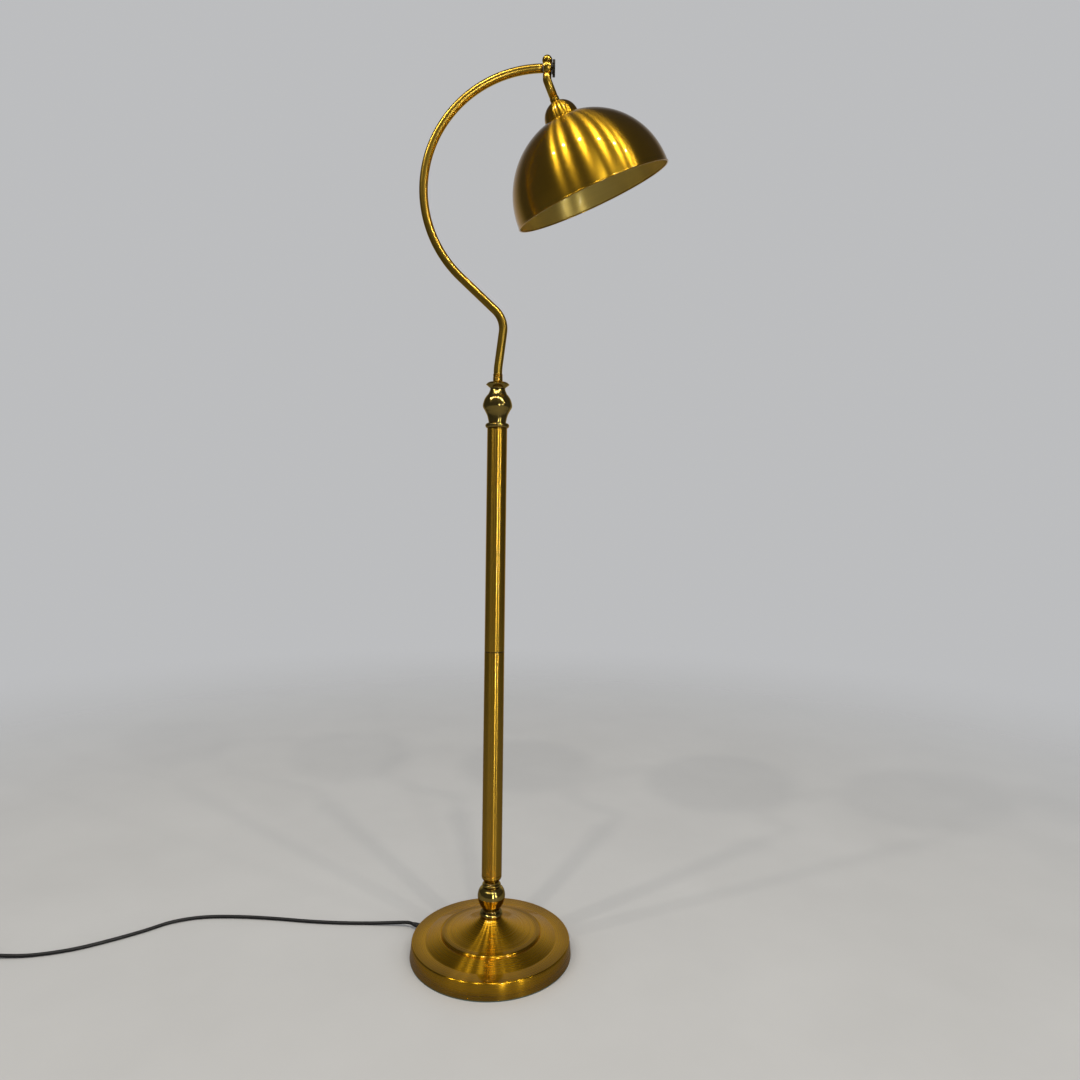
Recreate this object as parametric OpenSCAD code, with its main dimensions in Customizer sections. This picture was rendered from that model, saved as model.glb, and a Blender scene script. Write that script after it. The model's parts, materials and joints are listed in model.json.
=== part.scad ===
// Adjustable floor lamp: a stepped round base, a two-section column with turned fittings,
// a hooked swivel arm and a tilted dome shade that turns at the arm's end.
// The origin is on the floor, on the column's axis. +Z is up and the hook's open side faces +X.

/* [Base] */
// Diameter of the base at the floor
base_d = 280; // [240:1:340]
// Thickness of the felt under the base
felt_t = 2; // [1:0.5:4]
// Thickness of the base's sheet metal
base_sheet = 1.5; // [1:0.1:2.5]
// Height of the base's upright wall
base_wall_h = 26; // [22:0.5:40]
// How far the wall leans in over its height
base_wall_lean = 2.7; // [0:0.1:5]
// Rounding of the wall's top edge
base_edge_r = 2.5; // [2:0.5:5]
// Width of the flat ledge inside that edge
ledge_w = 22; // [12:0.5:26]
// Width of the rounded band above the ledge
band_w = 23; // [14:0.5:26]
// Height of the rounded band
band_h = 7.5; // [4:0.5:12]
// Width of the flat between the band and the step
step_gap = 3; // [1:0.5:5]
// Width of the step above the band, with that flat
step_w = 16; // [12:0.5:20]
// Height of the step
step_h = 5.3; // [3:0.1:8]
// Height of the hollow cone above the step
cone_h = 23.7; // [16:0.1:34]
// Radius of the cone's top
cone_top_r = 18; // [14:0.5:22]
// Thickness of the iron weight's disc
weight_h = 11; // [8:0.5:14]
// Gap between the weight's rim and the base's wall
weight_gap = 8; // [6:0.5:14]
// Radius of the weight's middle boss
boss_r = 42; // [30:1:50]

/* [Threaded Tubes] */
// Outer radius of the threaded tubes that hold the stack together
thread_r = 5; // [4.5:0.1:5.5]
// Radius of their wire hole
wire_hole_r = 3.25; // [3.1:0.05:3.4]
// Radius of the wire inside
wire_r = 2.5; // [2.2:0.1:2.7]
// Radius of the wire's bend below the first threaded tube
wire_bend_r = 10; // [8:0.5:14]
// Height of the nut under the weight
nut_h = 7; // [5:0.5:9]
// Width of that nut across its flats
nut_flats = 17; // [15:0.5:22]
// Radius of the washer above the nut
washer_r = 16; // [13:0.5:18]
// Thickness of that washer
washer_t = 2; // [1:0.5:3]

/* [Lower Turning] */
// Height of the rounded foot ring
foot_ring_h = 9; // [6:0.5:12]
// Radius of the foot ring
foot_ring_r = 20; // [18.5:0.5:24]
// Height of the lower baluster
baluster_h = 43; // [34:0.5:52]
// Radius of the baluster's neck
baluster_neck_r = 14.7; // [12:0.1:16]
// Radius of the baluster's belly
baluster_r = 24; // [20:0.5:28]
// Height of the belly's widest line above the foot ring
belly_z = 26; // [20:0.5:29]
// Radius of the baluster's top
baluster_top_r = 14.5; // [12:0.1:16]
// Height of the beaded collar under the column
collar_h = 14.5; // [11:0.5:20]
// Radius of the collar's bead
collar_bead_r = 16.2; // [15:0.1:18]
// Height of the rim that the column stands on
plug_rim_h = 6; // [3:0.5:10]

/* [Column] */
// Outer diameter of the column's tubes
tube_d = 35; // [30:0.5:40]
// Wall of the column's tubes
tube_wall = 1.5; // [1:0.1:2.5]
// Length of each of the column's two tubes
tube_len = 389; // [300:1:460]
// Height of the groove between the two tubes
seam_h = 1.2; // [0.6:0.1:3]
// Depth of that groove
seam_depth = 0.8; // [0.4:0.1:1.2]
// Depth to which each plug reaches into its tube
plug_depth = 26; // [18:1:40]

/* [Upper Turning] */
// Height of the rounded ring on top of the column
urn_ring_h = 9; // [6:0.5:12]
// Radius of that ring
urn_ring_r = 21; // [19:0.5:24]
// Height of the urn
urn_h = 49; // [40:0.5:60]
// Radius of the urn's foot
urn_foot_r = 15.3; // [13:0.1:17]
// Radius of the urn's belly
urn_r = 25.8; // [22:0.1:30]
// Height of the urn's widest line above its foot
urn_belly_z = 29.5; // [26:0.5:33]
// Radius of the urn's top
urn_top_r = 18.3; // [16:0.1:20]
// Height of the flanged neck on the urn
neck_h = 23; // [18:0.5:30]
// Radius of the neck's waist
neck_r = 13.1; // [11:0.1:15]
// Radius of the neck's sharp flange
flange_r = 20.5; // [18:0.5:24]

/* [Swivel] */
// Radius of the swivel's collars
swivel_r = 8.5; // [8.3:0.1:10]
// Height of the fixed collar
socket_h = 7; // [5:0.5:10]
// Height of the turning collar
ferrule_h = 6.5; // [5:0.5:10]
// Radius of the turning spigot
spigot_r = 4.6; // [4.2:0.1:4.8]
// Thickness of the washer between the collars
swivel_washer_t = 0.5; // [0.3:0.1:1]
// Depth of the fixed socket inside the neck
socket_depth = 20; // [18:0.5:21.5]

/* [Arm] */
// Outer diameter of the arm's tube
arm_d = 15; // [13:0.5:15.5]
// Wall of the arm's tube
arm_wall = 1.2; // [0.8:0.1:1.6]
// Forward lean of the arm above the swivel, in degrees
arm_lean = 7; // [2:0.5:12]
// Length of the leaning stretch
lean_len = 60; // [40:1:80]
// Radius of the bend above the leaning stretch
bend_r = 45; // [35:1:60]
// Rise of the backward stretch above level, in degrees
back_rise = 43; // [38:0.5:50]
// Length of the backward stretch
back_len = 83; // [60:1:100]
// Radius of the big arch
arch_r = 212.5; // [190:0.5:230]
// Rise of the arm at its end above level, in degrees
end_rise = 1.6; // [0:0.1:2]
// Radius of the sleeve at the arm's end
sleeve_r = 8.1; // [8:0.1:9.5]
// Length of that sleeve
sleeve_len = 22; // [16:1:30]

/* [Hub] */
// Radius of the ball at the arm's end
hub_r = 12; // [11:0.1:13]
// Half height of that ball between its flats
hub_flat = 10; // [9:0.1:10.5]
// Radius of the spindle that turns in the ball
spindle_r = 4; // [3.6:0.1:4.3]
// Radius of the ball finial on top
finial_r = 8.8; // [8:0.1:10]
// Thickness of the hub's washers
hub_washer_t = 0.8; // [0.5:0.1:1.5]
// Radius of the clamp screw
clamp_r = 2.5; // [2:0.1:3]
// Diameter of the clamp screw's knob
knob_d = 28; // [20:0.5:32]
// Thickness of the knob
knob_t = 4.5; // [2.5:0.1:5]
// Number of hollows in the knob's edge
knob_hollows = 12; // [8:1:18]

/* [Head] */
// Turn of the head about the hub at rest, in degrees
head_turn = 27; // [0:1:60]
// Tilt of the shade's axis from straight down, in degrees
head_tilt = 27; // [15:1:45]
// Outer diameter of the stem
stem_d = 15; // [13:0.5:16]
// Length of the stem's upright stretch
stem_upright = 7.5; // [7:0.5:12]
// Radius of the stem's elbow
elbow_r = 9; // [8.5:0.5:26]
// Length of the stem's slanted stretch
stem_len = 29; // [20:0.5:40]
// Radius of the collar at the stem's end
stem_collar_r = 8.3; // [8.2:0.1:10]
// Height of that collar
stem_collar_h = 6; // [4:0.1:12]
// Radius of the cap on the shade
cap_r = 31; // [26:0.5:40]
// Radius of the shade's dome
shade_r = 144; // [130:1:180]
// Thickness of the shade's and the cap's metal
shade_t = 1.2; // [0.8:0.1:2]
// How far the shade runs on past half a ball
shade_skirt = 0.5; // [0:0.5:10]
// Radius of the rolled edge at the shade's mouth
hem_r = 1.4; // [1.2:0.1:2.5]

/* [Lamp Holder] */
// Radius of the lamp holder
holder_r = 20; // [18:0.5:24]
// Height of the holder's cap
holder_cap_h = 12.5; // [10:0.5:18]
// Length of the holder's sleeve
holder_len = 38; // [34:0.5:44]
// Radius of the bulb's screw cap
bulb_cap_r = 13.1; // [12.5:0.1:13.5]
// Length of the bulb's screw cap
bulb_cap_h = 24; // [22:0.5:27]
// Radius of the bulb
bulb_r = 25.5; // [24:0.5:34]
// Length of the bulb's glass
bulb_len = 68; // [64:1:84]

/* [Mains Lead] */
// Diameter of the mains cord
cord_d = 6; // [5:0.1:7]
// Height of the cord's way out of the base
outlet_z = 9; // [8.5:0.1:12]
// Turn of that way out from the arm's front, in degrees
outlet_turn = 154; // [120:1:180]
// Length of the tapered strain relief
relief_len = 22; // [20:1:40]
// Length of the foot switch
switch_len = 60; // [54:1:70]
// Width of the foot switch
switch_w = 30; // [28:1:34]
// Height of the switch's lower shell
switch_base_h = 6; // [5:0.5:8]
// Height of the switch's cover
switch_cover_h = 11; // [9:0.5:14]
// Radius of the switch's button
button_r = 9; // [7:0.5:10]
// Travel of the button
button_travel = 3; // [2:0.5:3]
// Radius of the coil's middle turn
coil_r = 33; // [31:0.5:36]
// Step from one turn of the coil to the next
coil_step = 6.6; // [6.5:0.1:7.5]
// Thickness of the coil's tie
tie_t = 0.7; // [0.4:0.1:1]
// Width of the coil's tie
tie_w = 9; // [6:0.5:12]
// Radius of the plug's pins
pin_r = 2; // [1.8:0.1:2.4]
// Length of the plug's pins
pin_len = 19; // [17:0.5:20]
// Distance between the pins
pin_gap = 18.6; // [17:0.1:20]
// Length of the plug's body
plug_len = 34; // [28:1:40]
// Width of the plug's body
plug_w = 34; // [31:0.5:37]
// Thickness of the plug's body
plug_t = 13.6; // [12:0.1:14]

/* [Hidden] */
$fn = 72;

// Clearances: slip is between pieces that are clamped, run is between a shaft and its bore,
// free is between pieces that pass each other
slip = 0.1;
run = 0.05;
free = 0.3;
touch = 0.02;
weld_gap = 0.1;
weld = 0.04;
thread_hole_r = thread_r + slip;

satin_brass = "#b5882e";
polished_brass = "#8a6a1f";
dark_brass = "#5a4718";
cast_iron = "#4a4a4c";
steel = "#a7a9ac";
black = "#1c1c1e";
felt_green = "#2f3a33";
cream = "#e6dfcf";

// Levels of the stack, from the floor up
wall_top_z = felt_t + base_wall_h;
band_top_z = wall_top_z + band_h;
step_top_z = band_top_z + step_h;
cone_top_z = step_top_z + cone_h;
foot_ring_top_z = cone_top_z + foot_ring_h;
baluster_top_z = foot_ring_top_z + baluster_h;
collar_top_z = baluster_top_z + collar_h;
tube_1_z = collar_top_z + plug_rim_h;
seam_z = tube_1_z + tube_len;
tube_2_z = seam_z + seam_h;
column_top_z = tube_2_z + tube_len;
urn_z = column_top_z + urn_ring_h;
neck_z = urn_z + urn_h;
neck_top_z = neck_z + neck_h;
socket_top_z = neck_top_z + socket_h;
ferrule_z = socket_top_z + swivel_washer_t;
ferrule_top_z = ferrule_z + ferrule_h;

// Radii of the base's steps
base_r = base_d / 2;
ledge_out_r = base_r - base_wall_lean - base_edge_r;
band_out_r = ledge_out_r - ledge_w;
step_out_r = band_out_r - band_w;
cone_r = step_out_r - step_w;

// The lead's run inside the base: level to the middle, then up into the first threaded tube
wire_turn_z = outlet_z + wire_bend_r;
base_nipple_z = wire_turn_z + 0.5;
base_nut_z = base_nipple_z + 0.5;
base_washer_z = base_nut_z + nut_h;
recess_top_z = base_washer_z + washer_t;
recess_r = washer_r + 3;
boss_top_z = recess_top_z + 6;
weight_r = base_r - base_wall_lean - weight_gap;
wire_slot_w = 2 * wire_r + 4;

// Column fits
tube_r = tube_d / 2;
tube_bore_r = tube_r - tube_wall;
insert_r = tube_bore_r - run;
base_nipple_top_z = tube_1_z + plug_depth - 2;
urn_nipple_z = column_top_z - plug_depth + 2;

// Swivel fits
journal_r = spigot_r + run;
socket_tail_r = thread_r + 2;
socket_tail_z = neck_top_z - socket_depth;
urn_nipple_top_z = socket_tail_z + 6;
clip_room_top_z = urn_nipple_top_z + 4.5;
clip_t = 1;
clip_top_z = clip_room_top_z - free;
clip_groove_r = spigot_r - 0.6;
spigot_z = clip_top_z - clip_t - 1;
ferrule_seat_z = ferrule_top_z - 4.5;

// The arm's path in the XZ plane. A run [length] is straight, [radius, turn] bends left where turn > 0.
arm_r = arm_d / 2;
arm_bore_r = arm_r - arm_wall;
first_bend_r = 80;
arch_turn = 180 - back_rise - end_rise;
sleeve_turn = sleeve_len / arch_r * 180 / PI;
arm_start = [0, ferrule_seat_z, 90];
arm_runs = [
    [ferrule_top_z - ferrule_seat_z + 4],
    [first_bend_r, -arm_lean],
    [lean_len],
    [bend_r, 90 - back_rise + arm_lean],
    [back_len],
    [arch_r, sleeve_turn - arch_turn],
    [arch_r, -sleeve_turn]
];
arm_end = path_at(arm_start, arm_runs, len(arm_runs));
wire_runs = concat(
    [[arm_runs[0][0] + ferrule_seat_z - spigot_z]],
    [for (i = [1 : len(arm_runs) - 2]) arm_runs[i]]
);

// The hub's ball, its flat for the arm, and its axes
hub_seat = 7;
hub_x = arm_end[0] + hub_seat + free;
hub_z = arm_end[1];
hub_bore_r = spindle_r + run;
hub_spigot_len = 14;
hub_spigot_r = arm_bore_r - 0.7;
finial_z = hub_z + hub_flat + hub_washer_t;
finial_flat_r = 8.2;
finial_centre_z = finial_z + sqrt(finial_r * finial_r - finial_flat_r * finial_flat_r);
spindle_thread_r = spindle_r - 1;
spindle_top_z = finial_centre_z + 2.5;
stem_top_z = hub_z - hub_flat - hub_washer_t;
hub_face = 8;
knob_gap = 1.3;
knob_boss_r = knob_d / 3;

// The stem's path in the head's upright plane, and the head's axis from the elbow's corner
stem_r = stem_d / 2;
stem_bore_r = thread_r + run;
stem_start = [0, stem_top_z, -90];
elbow_len = elbow_r * tan(head_tilt / 2);
elbow_z = stem_top_z - stem_upright - elbow_len;
stem_end_s = elbow_len + stem_len;
cap_seat_s = stem_end_s + stem_collar_h;
cap_s = cap_seat_s + sqrt(cap_r * cap_r - thread_hole_r * thread_hole_r);
shade_s = cap_s + sqrt(shade_r * shade_r - cap_r * cap_r);
shade_nut_r = 9;
shade_nut_h = 5;
shade_in_r = shade_r - shade_t;
shade_nut_s = shade_s - sqrt(shade_in_r * shade_in_r - shade_nut_r * shade_nut_r) + touch;
holder_s = shade_nut_s + shade_nut_h;
sleeve_s = holder_s + holder_cap_h;
sleeve_bore_r = bulb_cap_r + free;
insert_h = 9;
contact_h = 1;
bulb_s = sleeve_s + insert_h + contact_h;
glass_s = bulb_s + bulb_cap_h;
stem_nipple_s = elbow_len + 3;
stem_nipple_end_s = holder_s + 8;
plug_in_stem = 6;

// The cord's outlet and strain relief, along the outlet's direction
relief_flange_r = 6.7;
relief_flange_t = 3;
relief_neck_r = 5.4;
relief_tip_r = cord_d / 2 + 0.6;
wall_lean_at_outlet = base_wall_lean * (outlet_z - felt_t) / base_wall_h;
relief_x = base_r - base_sheet - wall_lean_at_outlet - 1.3;
relief_taper_x = base_r + 2;
relief_tip_x = relief_taper_x + relief_len;
outlet_dir = [cos(outlet_turn), sin(outlet_turn), 0];

// The switch lies in line with the cord, past the last bend
switch_x = -892;
switch_y = -37;
cord_r = cord_d / 2;
cord_floor_z = cord_r + 0.1;
switch_cord_z = switch_base_h;
switch_wall = 2;
switch_corner_r = 8;
switch_crown_r = 44;
button_flange_w = 2;
button_flange_t = 2;
button_rise = 4;
switch_top_z = switch_base_h + switch_cover_h;
switch_roof_z = switch_top_z - 2.5;

// The cord's way over the floor to the switch: points chosen by hand, height last
cord_route = [
    relief_tip_x * outlet_dir + [0, 0, outlet_z],
    (relief_tip_x + 14) * outlet_dir + [0, 0, outlet_z - 0.5],
    [-190, 82, 5.5],
    [-230, 84, cord_floor_z],
    [-285, 84, cord_floor_z],
    [-345, 88, cord_floor_z],
    [-410, 96, cord_floor_z],
    [-480, 101, cord_floor_z],
    [-545, 98, cord_floor_z],
    [-595, 80, cord_floor_z],
    [-632, 48, cord_floor_z],
    [-675, 16, cord_floor_z],
    [-725, -14, cord_floor_z],
    [-780, -32, cord_floor_z],
    [-825, -37, 4.2],
    [switch_x + switch_len / 2 + 12, switch_y, switch_cord_z],
    [switch_x + switch_len / 2, switch_y, switch_cord_z]
];
cord_sides = 10;
cord_parts = 4;

// The coil beyond the switch: turns spiral in on the floor, climb in the half turn where they
// reverse, and spiral out on top
coil_turns = 4.25;
coil_rings = 24;
coil_sides = 6;
coil_out_r = coil_r + coil_step * coil_turns / 4;
coil_x = -962;
coil_y = switch_y - coil_out_r;
coil_low_z = cord_r + tie_t + free;
coil_high_z = coil_low_z + coil_step;
plug_z = plug_t / 2 + 0.4;
plug_x = coil_x - coil_out_r;
plug_boot_len = 24;
// Along the plug's line, from beside the coil's middle
plug_tail_s = 60;
plug_back_s = plug_tail_s + plug_boot_len;
plug_face_s = plug_back_s + plug_len;
pin_root_r = pin_r - 0.4;

// Shapes that several pieces share

// Where a run of a path ends, from where it starts: [x, z, heading in degrees]
function run_end(at, bend) =
    len(bend) == 1
    ? [at[0] + bend[0] * cos(at[2]), at[1] + bend[0] * sin(at[2]), at[2]]
    : let (side = sign(bend[1]), to = at[2] + bend[1])
      [
          at[0] + side * bend[0] * (sin(to) - sin(at[2])),
          at[1] - side * bend[0] * (cos(to) - cos(at[2])),
          to
      ];

// Where a path is after its first count runs
function path_at(start, runs, count) =
    count == 0 ? start : run_end(path_at(start, runs, count - 1), runs[count - 1]);

// A point of the smooth curve through four knots, between the middle two
function curve_point(a, b, c, d, t) =
    0.5 * (2 * b + (c - a) * t + (2 * a - 5 * b + 4 * c - d) * t * t + (3 * b - a - 3 * c + d) * t * t * t);

// A smooth curve through all knots, with parts steps between two
function smooth(knots, parts) = [
    for (i = [0 : len(knots) - 2], j = [0 : parts - 1])
        let (a = knots[max(i - 1, 0)], d = knots[min(i + 2, len(knots) - 1)])
        curve_point(a, knots[i], knots[i + 1], d, j / parts),
    knots[len(knots) - 1]
];

// Points of an arc of an outline
function arc(centre, r, from, to, parts) = [
    for (i = [0 : parts])
        let (a = from + (to - from) * i / parts)
        centre + r * [cos(a), sin(a)]
];

// An outline moved t to its left-hand side
function beside(points, t) = [
    for (i = [0 : len(points) - 1])
        let (
            way = points[min(i + 1, len(points) - 1)] - points[max(i - 1, 0)],
            side = [-way[1], way[0]] / norm(way)
        )
        points[i] + t * side
];

function reversed(list) = [for (i = [len(list) - 1 : -1 : 0]) list[i]];

// A ring of points round a path's point, square to the way it runs there
function cord_ring(at, way, r, sides) =
    let (
        side = [-way[1], way[0], 0] / norm([way[0], way[1]]),
        up = cross(way / norm(way), side)
    )
    [for (k = [0 : sides - 1]) at + r * (cos((k + 0.5) * 360 / sides) * side + sin((k + 0.5) * 360 / sides) * up)];

// One closed tube along a list of points
module cord_tube(points, r, sides) {
    last = len(points) - 1;
    rings = [
        for (i = [0 : last])
            each cord_ring(points[i], points[min(i + 1, last)] - points[max(i - 1, 0)], r, sides)
    ];
    walls = [
        for (i = [0 : last - 1], k = [0 : sides - 1])
            let (a = i * sides + k, b = i * sides + (k + 1) % sides)
            each [[a, a + sides, b], [b, a + sides, b + sides]]
    ];
    first_end = [for (k = [1 : sides - 2]) [0, k, k + 1]];
    last_end = [for (k = [1 : sides - 2]) [last * sides, last * sides + k + 1, last * sides + k]];
    polyhedron(points = rings, faces = concat(walls, first_end, last_end));
}

// A round rod along a path's runs, each end longer by over. Each run stops just short of the next,
// and a ball that is a hair thicker joins the two.
module bent_rod(start, runs, r, over = 0) {
    last = len(runs) - 1;
    for (i = [0 : last]) {
        at = path_at(start, runs, i);
        bend = runs[i];
        head = i == 0 ? -over : weld_gap;
        tail = i == last ? -over : weld_gap;
        translate([at[0], 0, at[1]])
        rotate([90, 0, 0])
        rotate([0, 0, at[2]])
        if (len(bend) == 1) {
            translate([head, 0, 0])
            rotate([0, 90, 0])
            cylinder(r = r, h = bend[0] - head - tail);
        } else {
            head_turn = head / bend[0] * 180 / PI;
            tail_turn = tail / bend[0] * 180 / PI;
            translate([0, sign(bend[1]) * bend[0], 0])
            rotate([0, 0, bend[1] > 0 ? head_turn - 90 : 90 + bend[1] + tail_turn])
            rotate_extrude(angle = abs(bend[1]) - head_turn - tail_turn)
            translate([bend[0], 0])
            circle(r);
        }
        if (i > 0)
            translate([at[0], 0, at[1]])
            sphere(r + weld);
    }
}

module bent_tube(start, runs, outer, inner) {
    difference() {
        bent_rod(start, runs, outer);
        bent_rod(start, runs, inner, 1);
    }
}

module ring_section(outer, inner) {
    difference() {
        circle(outer);
        circle(inner);
    }
}

module pipe(outer, inner, h) {
    linear_extrude(h)
    ring_section(outer, inner);
}

// A turned piece: its outline of [radius, height] points, closed on its bore
module turned(outline, bore) {
    rotate_extrude()
    polygon(concat(
        [[bore, outline[0][1]]],
        outline,
        [[bore, outline[len(outline) - 1][1]]]
    ));
}

// A ring with a half-round outer face
module round_ring(outer, bore, h) {
    turned(arc([outer - h / 2, h / 2], h / 2, -90, 90, 12), bore);
}

// The head's frame: the elbow's corner is at 0 and +Z runs along the shade's axis, out of its mouth
module head_frame() {
    translate([hub_x, 0, elbow_z])
    rotate([0, 0, head_turn])
    rotate([0, 180 - head_tilt, 0])
    children();
}

// The stem's upright plane
module stem_plane() {
    translate([hub_x, 0, 0])
    rotate([0, 0, head_turn])
    children();
}

// The direction of the cord's outlet: +Z runs out of the base
module outlet_frame() {
    rotate([0, 0, outlet_turn])
    translate([0, 0, outlet_z])
    rotate([0, 90, 0])
    children();
}

// A rectangle with round corners, centred
module rounded_plate(size, r) {
    square([size[0] - 2 * r, size[1]], center = true);
    square([size[0], size[1] - 2 * r], center = true);
    for (x = [-1, 1], y = [-1, 1])
        translate([x * (size[0] / 2 - r), y * (size[1] / 2 - r)])
        circle(r);
}

// Base

base_outline = concat(
    [[base_r, felt_t]],
    arc([ledge_out_r, wall_top_z - base_edge_r], base_edge_r, 6, 90, 6),
    smooth([
        [band_out_r, wall_top_z],
        [band_out_r - 0.2 * band_w, wall_top_z + 0.42 * band_h],
        [band_out_r - 0.55 * band_w, wall_top_z + 0.82 * band_h],
        [step_out_r, band_top_z]
    ], 3),
    arc([step_out_r - step_gap - step_h, band_top_z], step_h, 0, 90, 6),
    smooth([
        [cone_r, step_top_z],
        [cone_r - 0.3 * (cone_r - cone_top_r), step_top_z + 0.17 * cone_h],
        [cone_r - 0.65 * (cone_r - cone_top_r), step_top_z + 0.47 * cone_h],
        [cone_r - 0.88 * (cone_r - cone_top_r), step_top_z + 0.76 * cone_h],
        [cone_top_r, cone_top_z]
    ], 3)
);

module felt_pad() {
    color(felt_green)
    cylinder(r = base_r - 0.5, h = felt_t);
}

module base_weight() {
    color(cast_iron)
    difference() {
        union() {
            translate([0, 0, felt_t])
            cylinder(r = weight_r, h = weight_h);
            translate([0, 0, felt_t])
            cylinder(r = boss_r, h = boss_top_z - felt_t);
        }
        translate([0, 0, felt_t - 1])
        cylinder(r = recess_r, h = recess_top_z - felt_t + 1);
        cylinder(r = thread_hole_r, h = boss_top_z + 1);
        rotate([0, 0, outlet_turn])
        translate([0, -wire_slot_w / 2, felt_t - 1])
        cube([base_r, wire_slot_w, outlet_z + wire_r + 2 - felt_t + 1]);
    }
}

module base_shell() {
    color(satin_brass)
    difference() {
        rotate_extrude()
        polygon(concat(
            base_outline,
            [[thread_hole_r, cone_top_z], [thread_hole_r, cone_top_z - base_sheet]],
            [for (p = reversed(beside(base_outline, base_sheet))) [p[0], max(p[1], felt_t)]]
        ));
        outlet_frame()
        translate([0, 0, weight_r])
        cylinder(r = relief_neck_r + slip, h = base_r);
    }
}

module base_spacer() {
    color(steel)
    translate([0, 0, boss_top_z])
    pipe(thread_r + 4, thread_hole_r, cone_top_z - base_sheet - boss_top_z);
}

module base_nipple() {
    color(steel)
    translate([0, 0, base_nipple_z])
    pipe(thread_r, wire_hole_r, base_nipple_top_z - base_nipple_z);
}

module base_washer() {
    color(steel)
    translate([0, 0, base_washer_z])
    pipe(washer_r, thread_hole_r, washer_t);
}

module base_nut() {
    color(steel)
    translate([0, 0, base_nut_z])
    linear_extrude(nut_h)
    difference() {
        circle(d = nut_flats / cos(30), $fn = 6);
        circle(thread_hole_r);
    }
}

module strain_relief() {
    bore = wire_r + slip;
    color(black)
    outlet_frame()
    rotate_extrude()
    polygon([
        [bore, relief_x - relief_flange_t],
        [relief_flange_r, relief_x - relief_flange_t],
        [relief_flange_r, relief_x],
        [relief_neck_r, relief_x],
        [relief_neck_r, relief_taper_x],
        [relief_tip_r, relief_tip_x],
        [0, relief_tip_x],
        [0, relief_taper_x],
        [bore, relief_taper_x]
    ]);
}

module column_wire() {
    start_x = relief_taper_x - 1;
    color(black)
    rotate([0, 0, outlet_turn])
    bent_rod([start_x, outlet_z, 180], [
        [start_x - wire_bend_r],
        [wire_bend_r, -90],
        [urn_nipple_top_z - 1 - wire_turn_z]
    ], wire_r);
}

// Lower turning

module foot_ring() {
    color(polished_brass)
    translate([0, 0, cone_top_z])
    round_ring(foot_ring_r, thread_hole_r, foot_ring_h);
}

module lower_baluster() {
    color(polished_brass)
    translate([0, 0, foot_ring_top_z])
    turned(smooth([
        [baluster_neck_r + 0.8, 0],
        [baluster_neck_r, 0.08 * baluster_h],
        [0.35 * baluster_neck_r + 0.65 * baluster_r, 0.5 * belly_z],
        [baluster_r, belly_z],
        [0.3 * baluster_top_r + 0.7 * baluster_r, belly_z + 0.68 * (baluster_h - belly_z)],
        [baluster_top_r, baluster_h]
    ], 4), thread_hole_r);
}

module lower_collar() {
    bead = 0.19 * collar_h;
    color(polished_brass)
    translate([0, 0, baluster_top_z])
    turned(concat(
        arc([collar_bead_r - bead, bead], bead, -90, 90, 8),
        smooth([
            [collar_bead_r - bead - 0.3, 2 * bead + 0.4],
            [collar_bead_r - bead, 0.62 * collar_h],
            [0.5 * (collar_bead_r + tube_r), collar_h]
        ], 3)
    ), thread_hole_r);
}

module lower_plug() {
    color(satin_brass)
    translate([0, 0, collar_top_z])
    union() {
        turned([
            [tube_r - 1.2, 0],
            [tube_r, 1.6],
            [tube_r, plug_rim_h - 0.8],
            [tube_r - 0.6, plug_rim_h]
        ], thread_hole_r);
        translate([0, 0, plug_rim_h])
        pipe(insert_r, thread_hole_r, plug_depth);
    }
}

// Column

module lower_tube() {
    color(satin_brass)
    translate([0, 0, tube_1_z])
    pipe(tube_r, tube_bore_r, tube_len);
}

module column_coupler() {
    color(dark_brass)
    translate([0, 0, seam_z])
    difference() {
        union() {
            translate([0, 0, -plug_depth])
            cylinder(r = insert_r, h = seam_h + 2 * plug_depth);
            cylinder(r = tube_r - seam_depth, h = seam_h);
        }
        translate([0, 0, -plug_depth - 1])
        cylinder(r = wire_hole_r, h = seam_h + 2 * plug_depth + 2);
    }
}

module upper_tube() {
    color(satin_brass)
    translate([0, 0, tube_2_z])
    pipe(tube_r, tube_bore_r, tube_len);
}

module upper_plug() {
    color(steel)
    translate([0, 0, column_top_z - plug_depth])
    pipe(insert_r, thread_hole_r, plug_depth);
}

// Upper turning

module urn_ring() {
    color(polished_brass)
    translate([0, 0, column_top_z])
    round_ring(urn_ring_r, thread_hole_r, urn_ring_h);
}

module urn() {
    color(polished_brass)
    translate([0, 0, urn_z])
    turned(smooth([
        [urn_foot_r + 0.4, 0],
        [urn_foot_r + 0.3, 0.06 * urn_h],
        [0.75 * urn_foot_r + 0.25 * urn_r, 0.44 * urn_belly_z],
        [0.4 * urn_foot_r + 0.6 * urn_r, 0.7 * urn_belly_z],
        [urn_r, urn_belly_z],
        [0.35 * urn_top_r + 0.65 * urn_r, urn_belly_z + 0.6 * (urn_h - urn_belly_z)],
        [urn_top_r, urn_h]
    ], 4), thread_hole_r);
}

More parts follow.
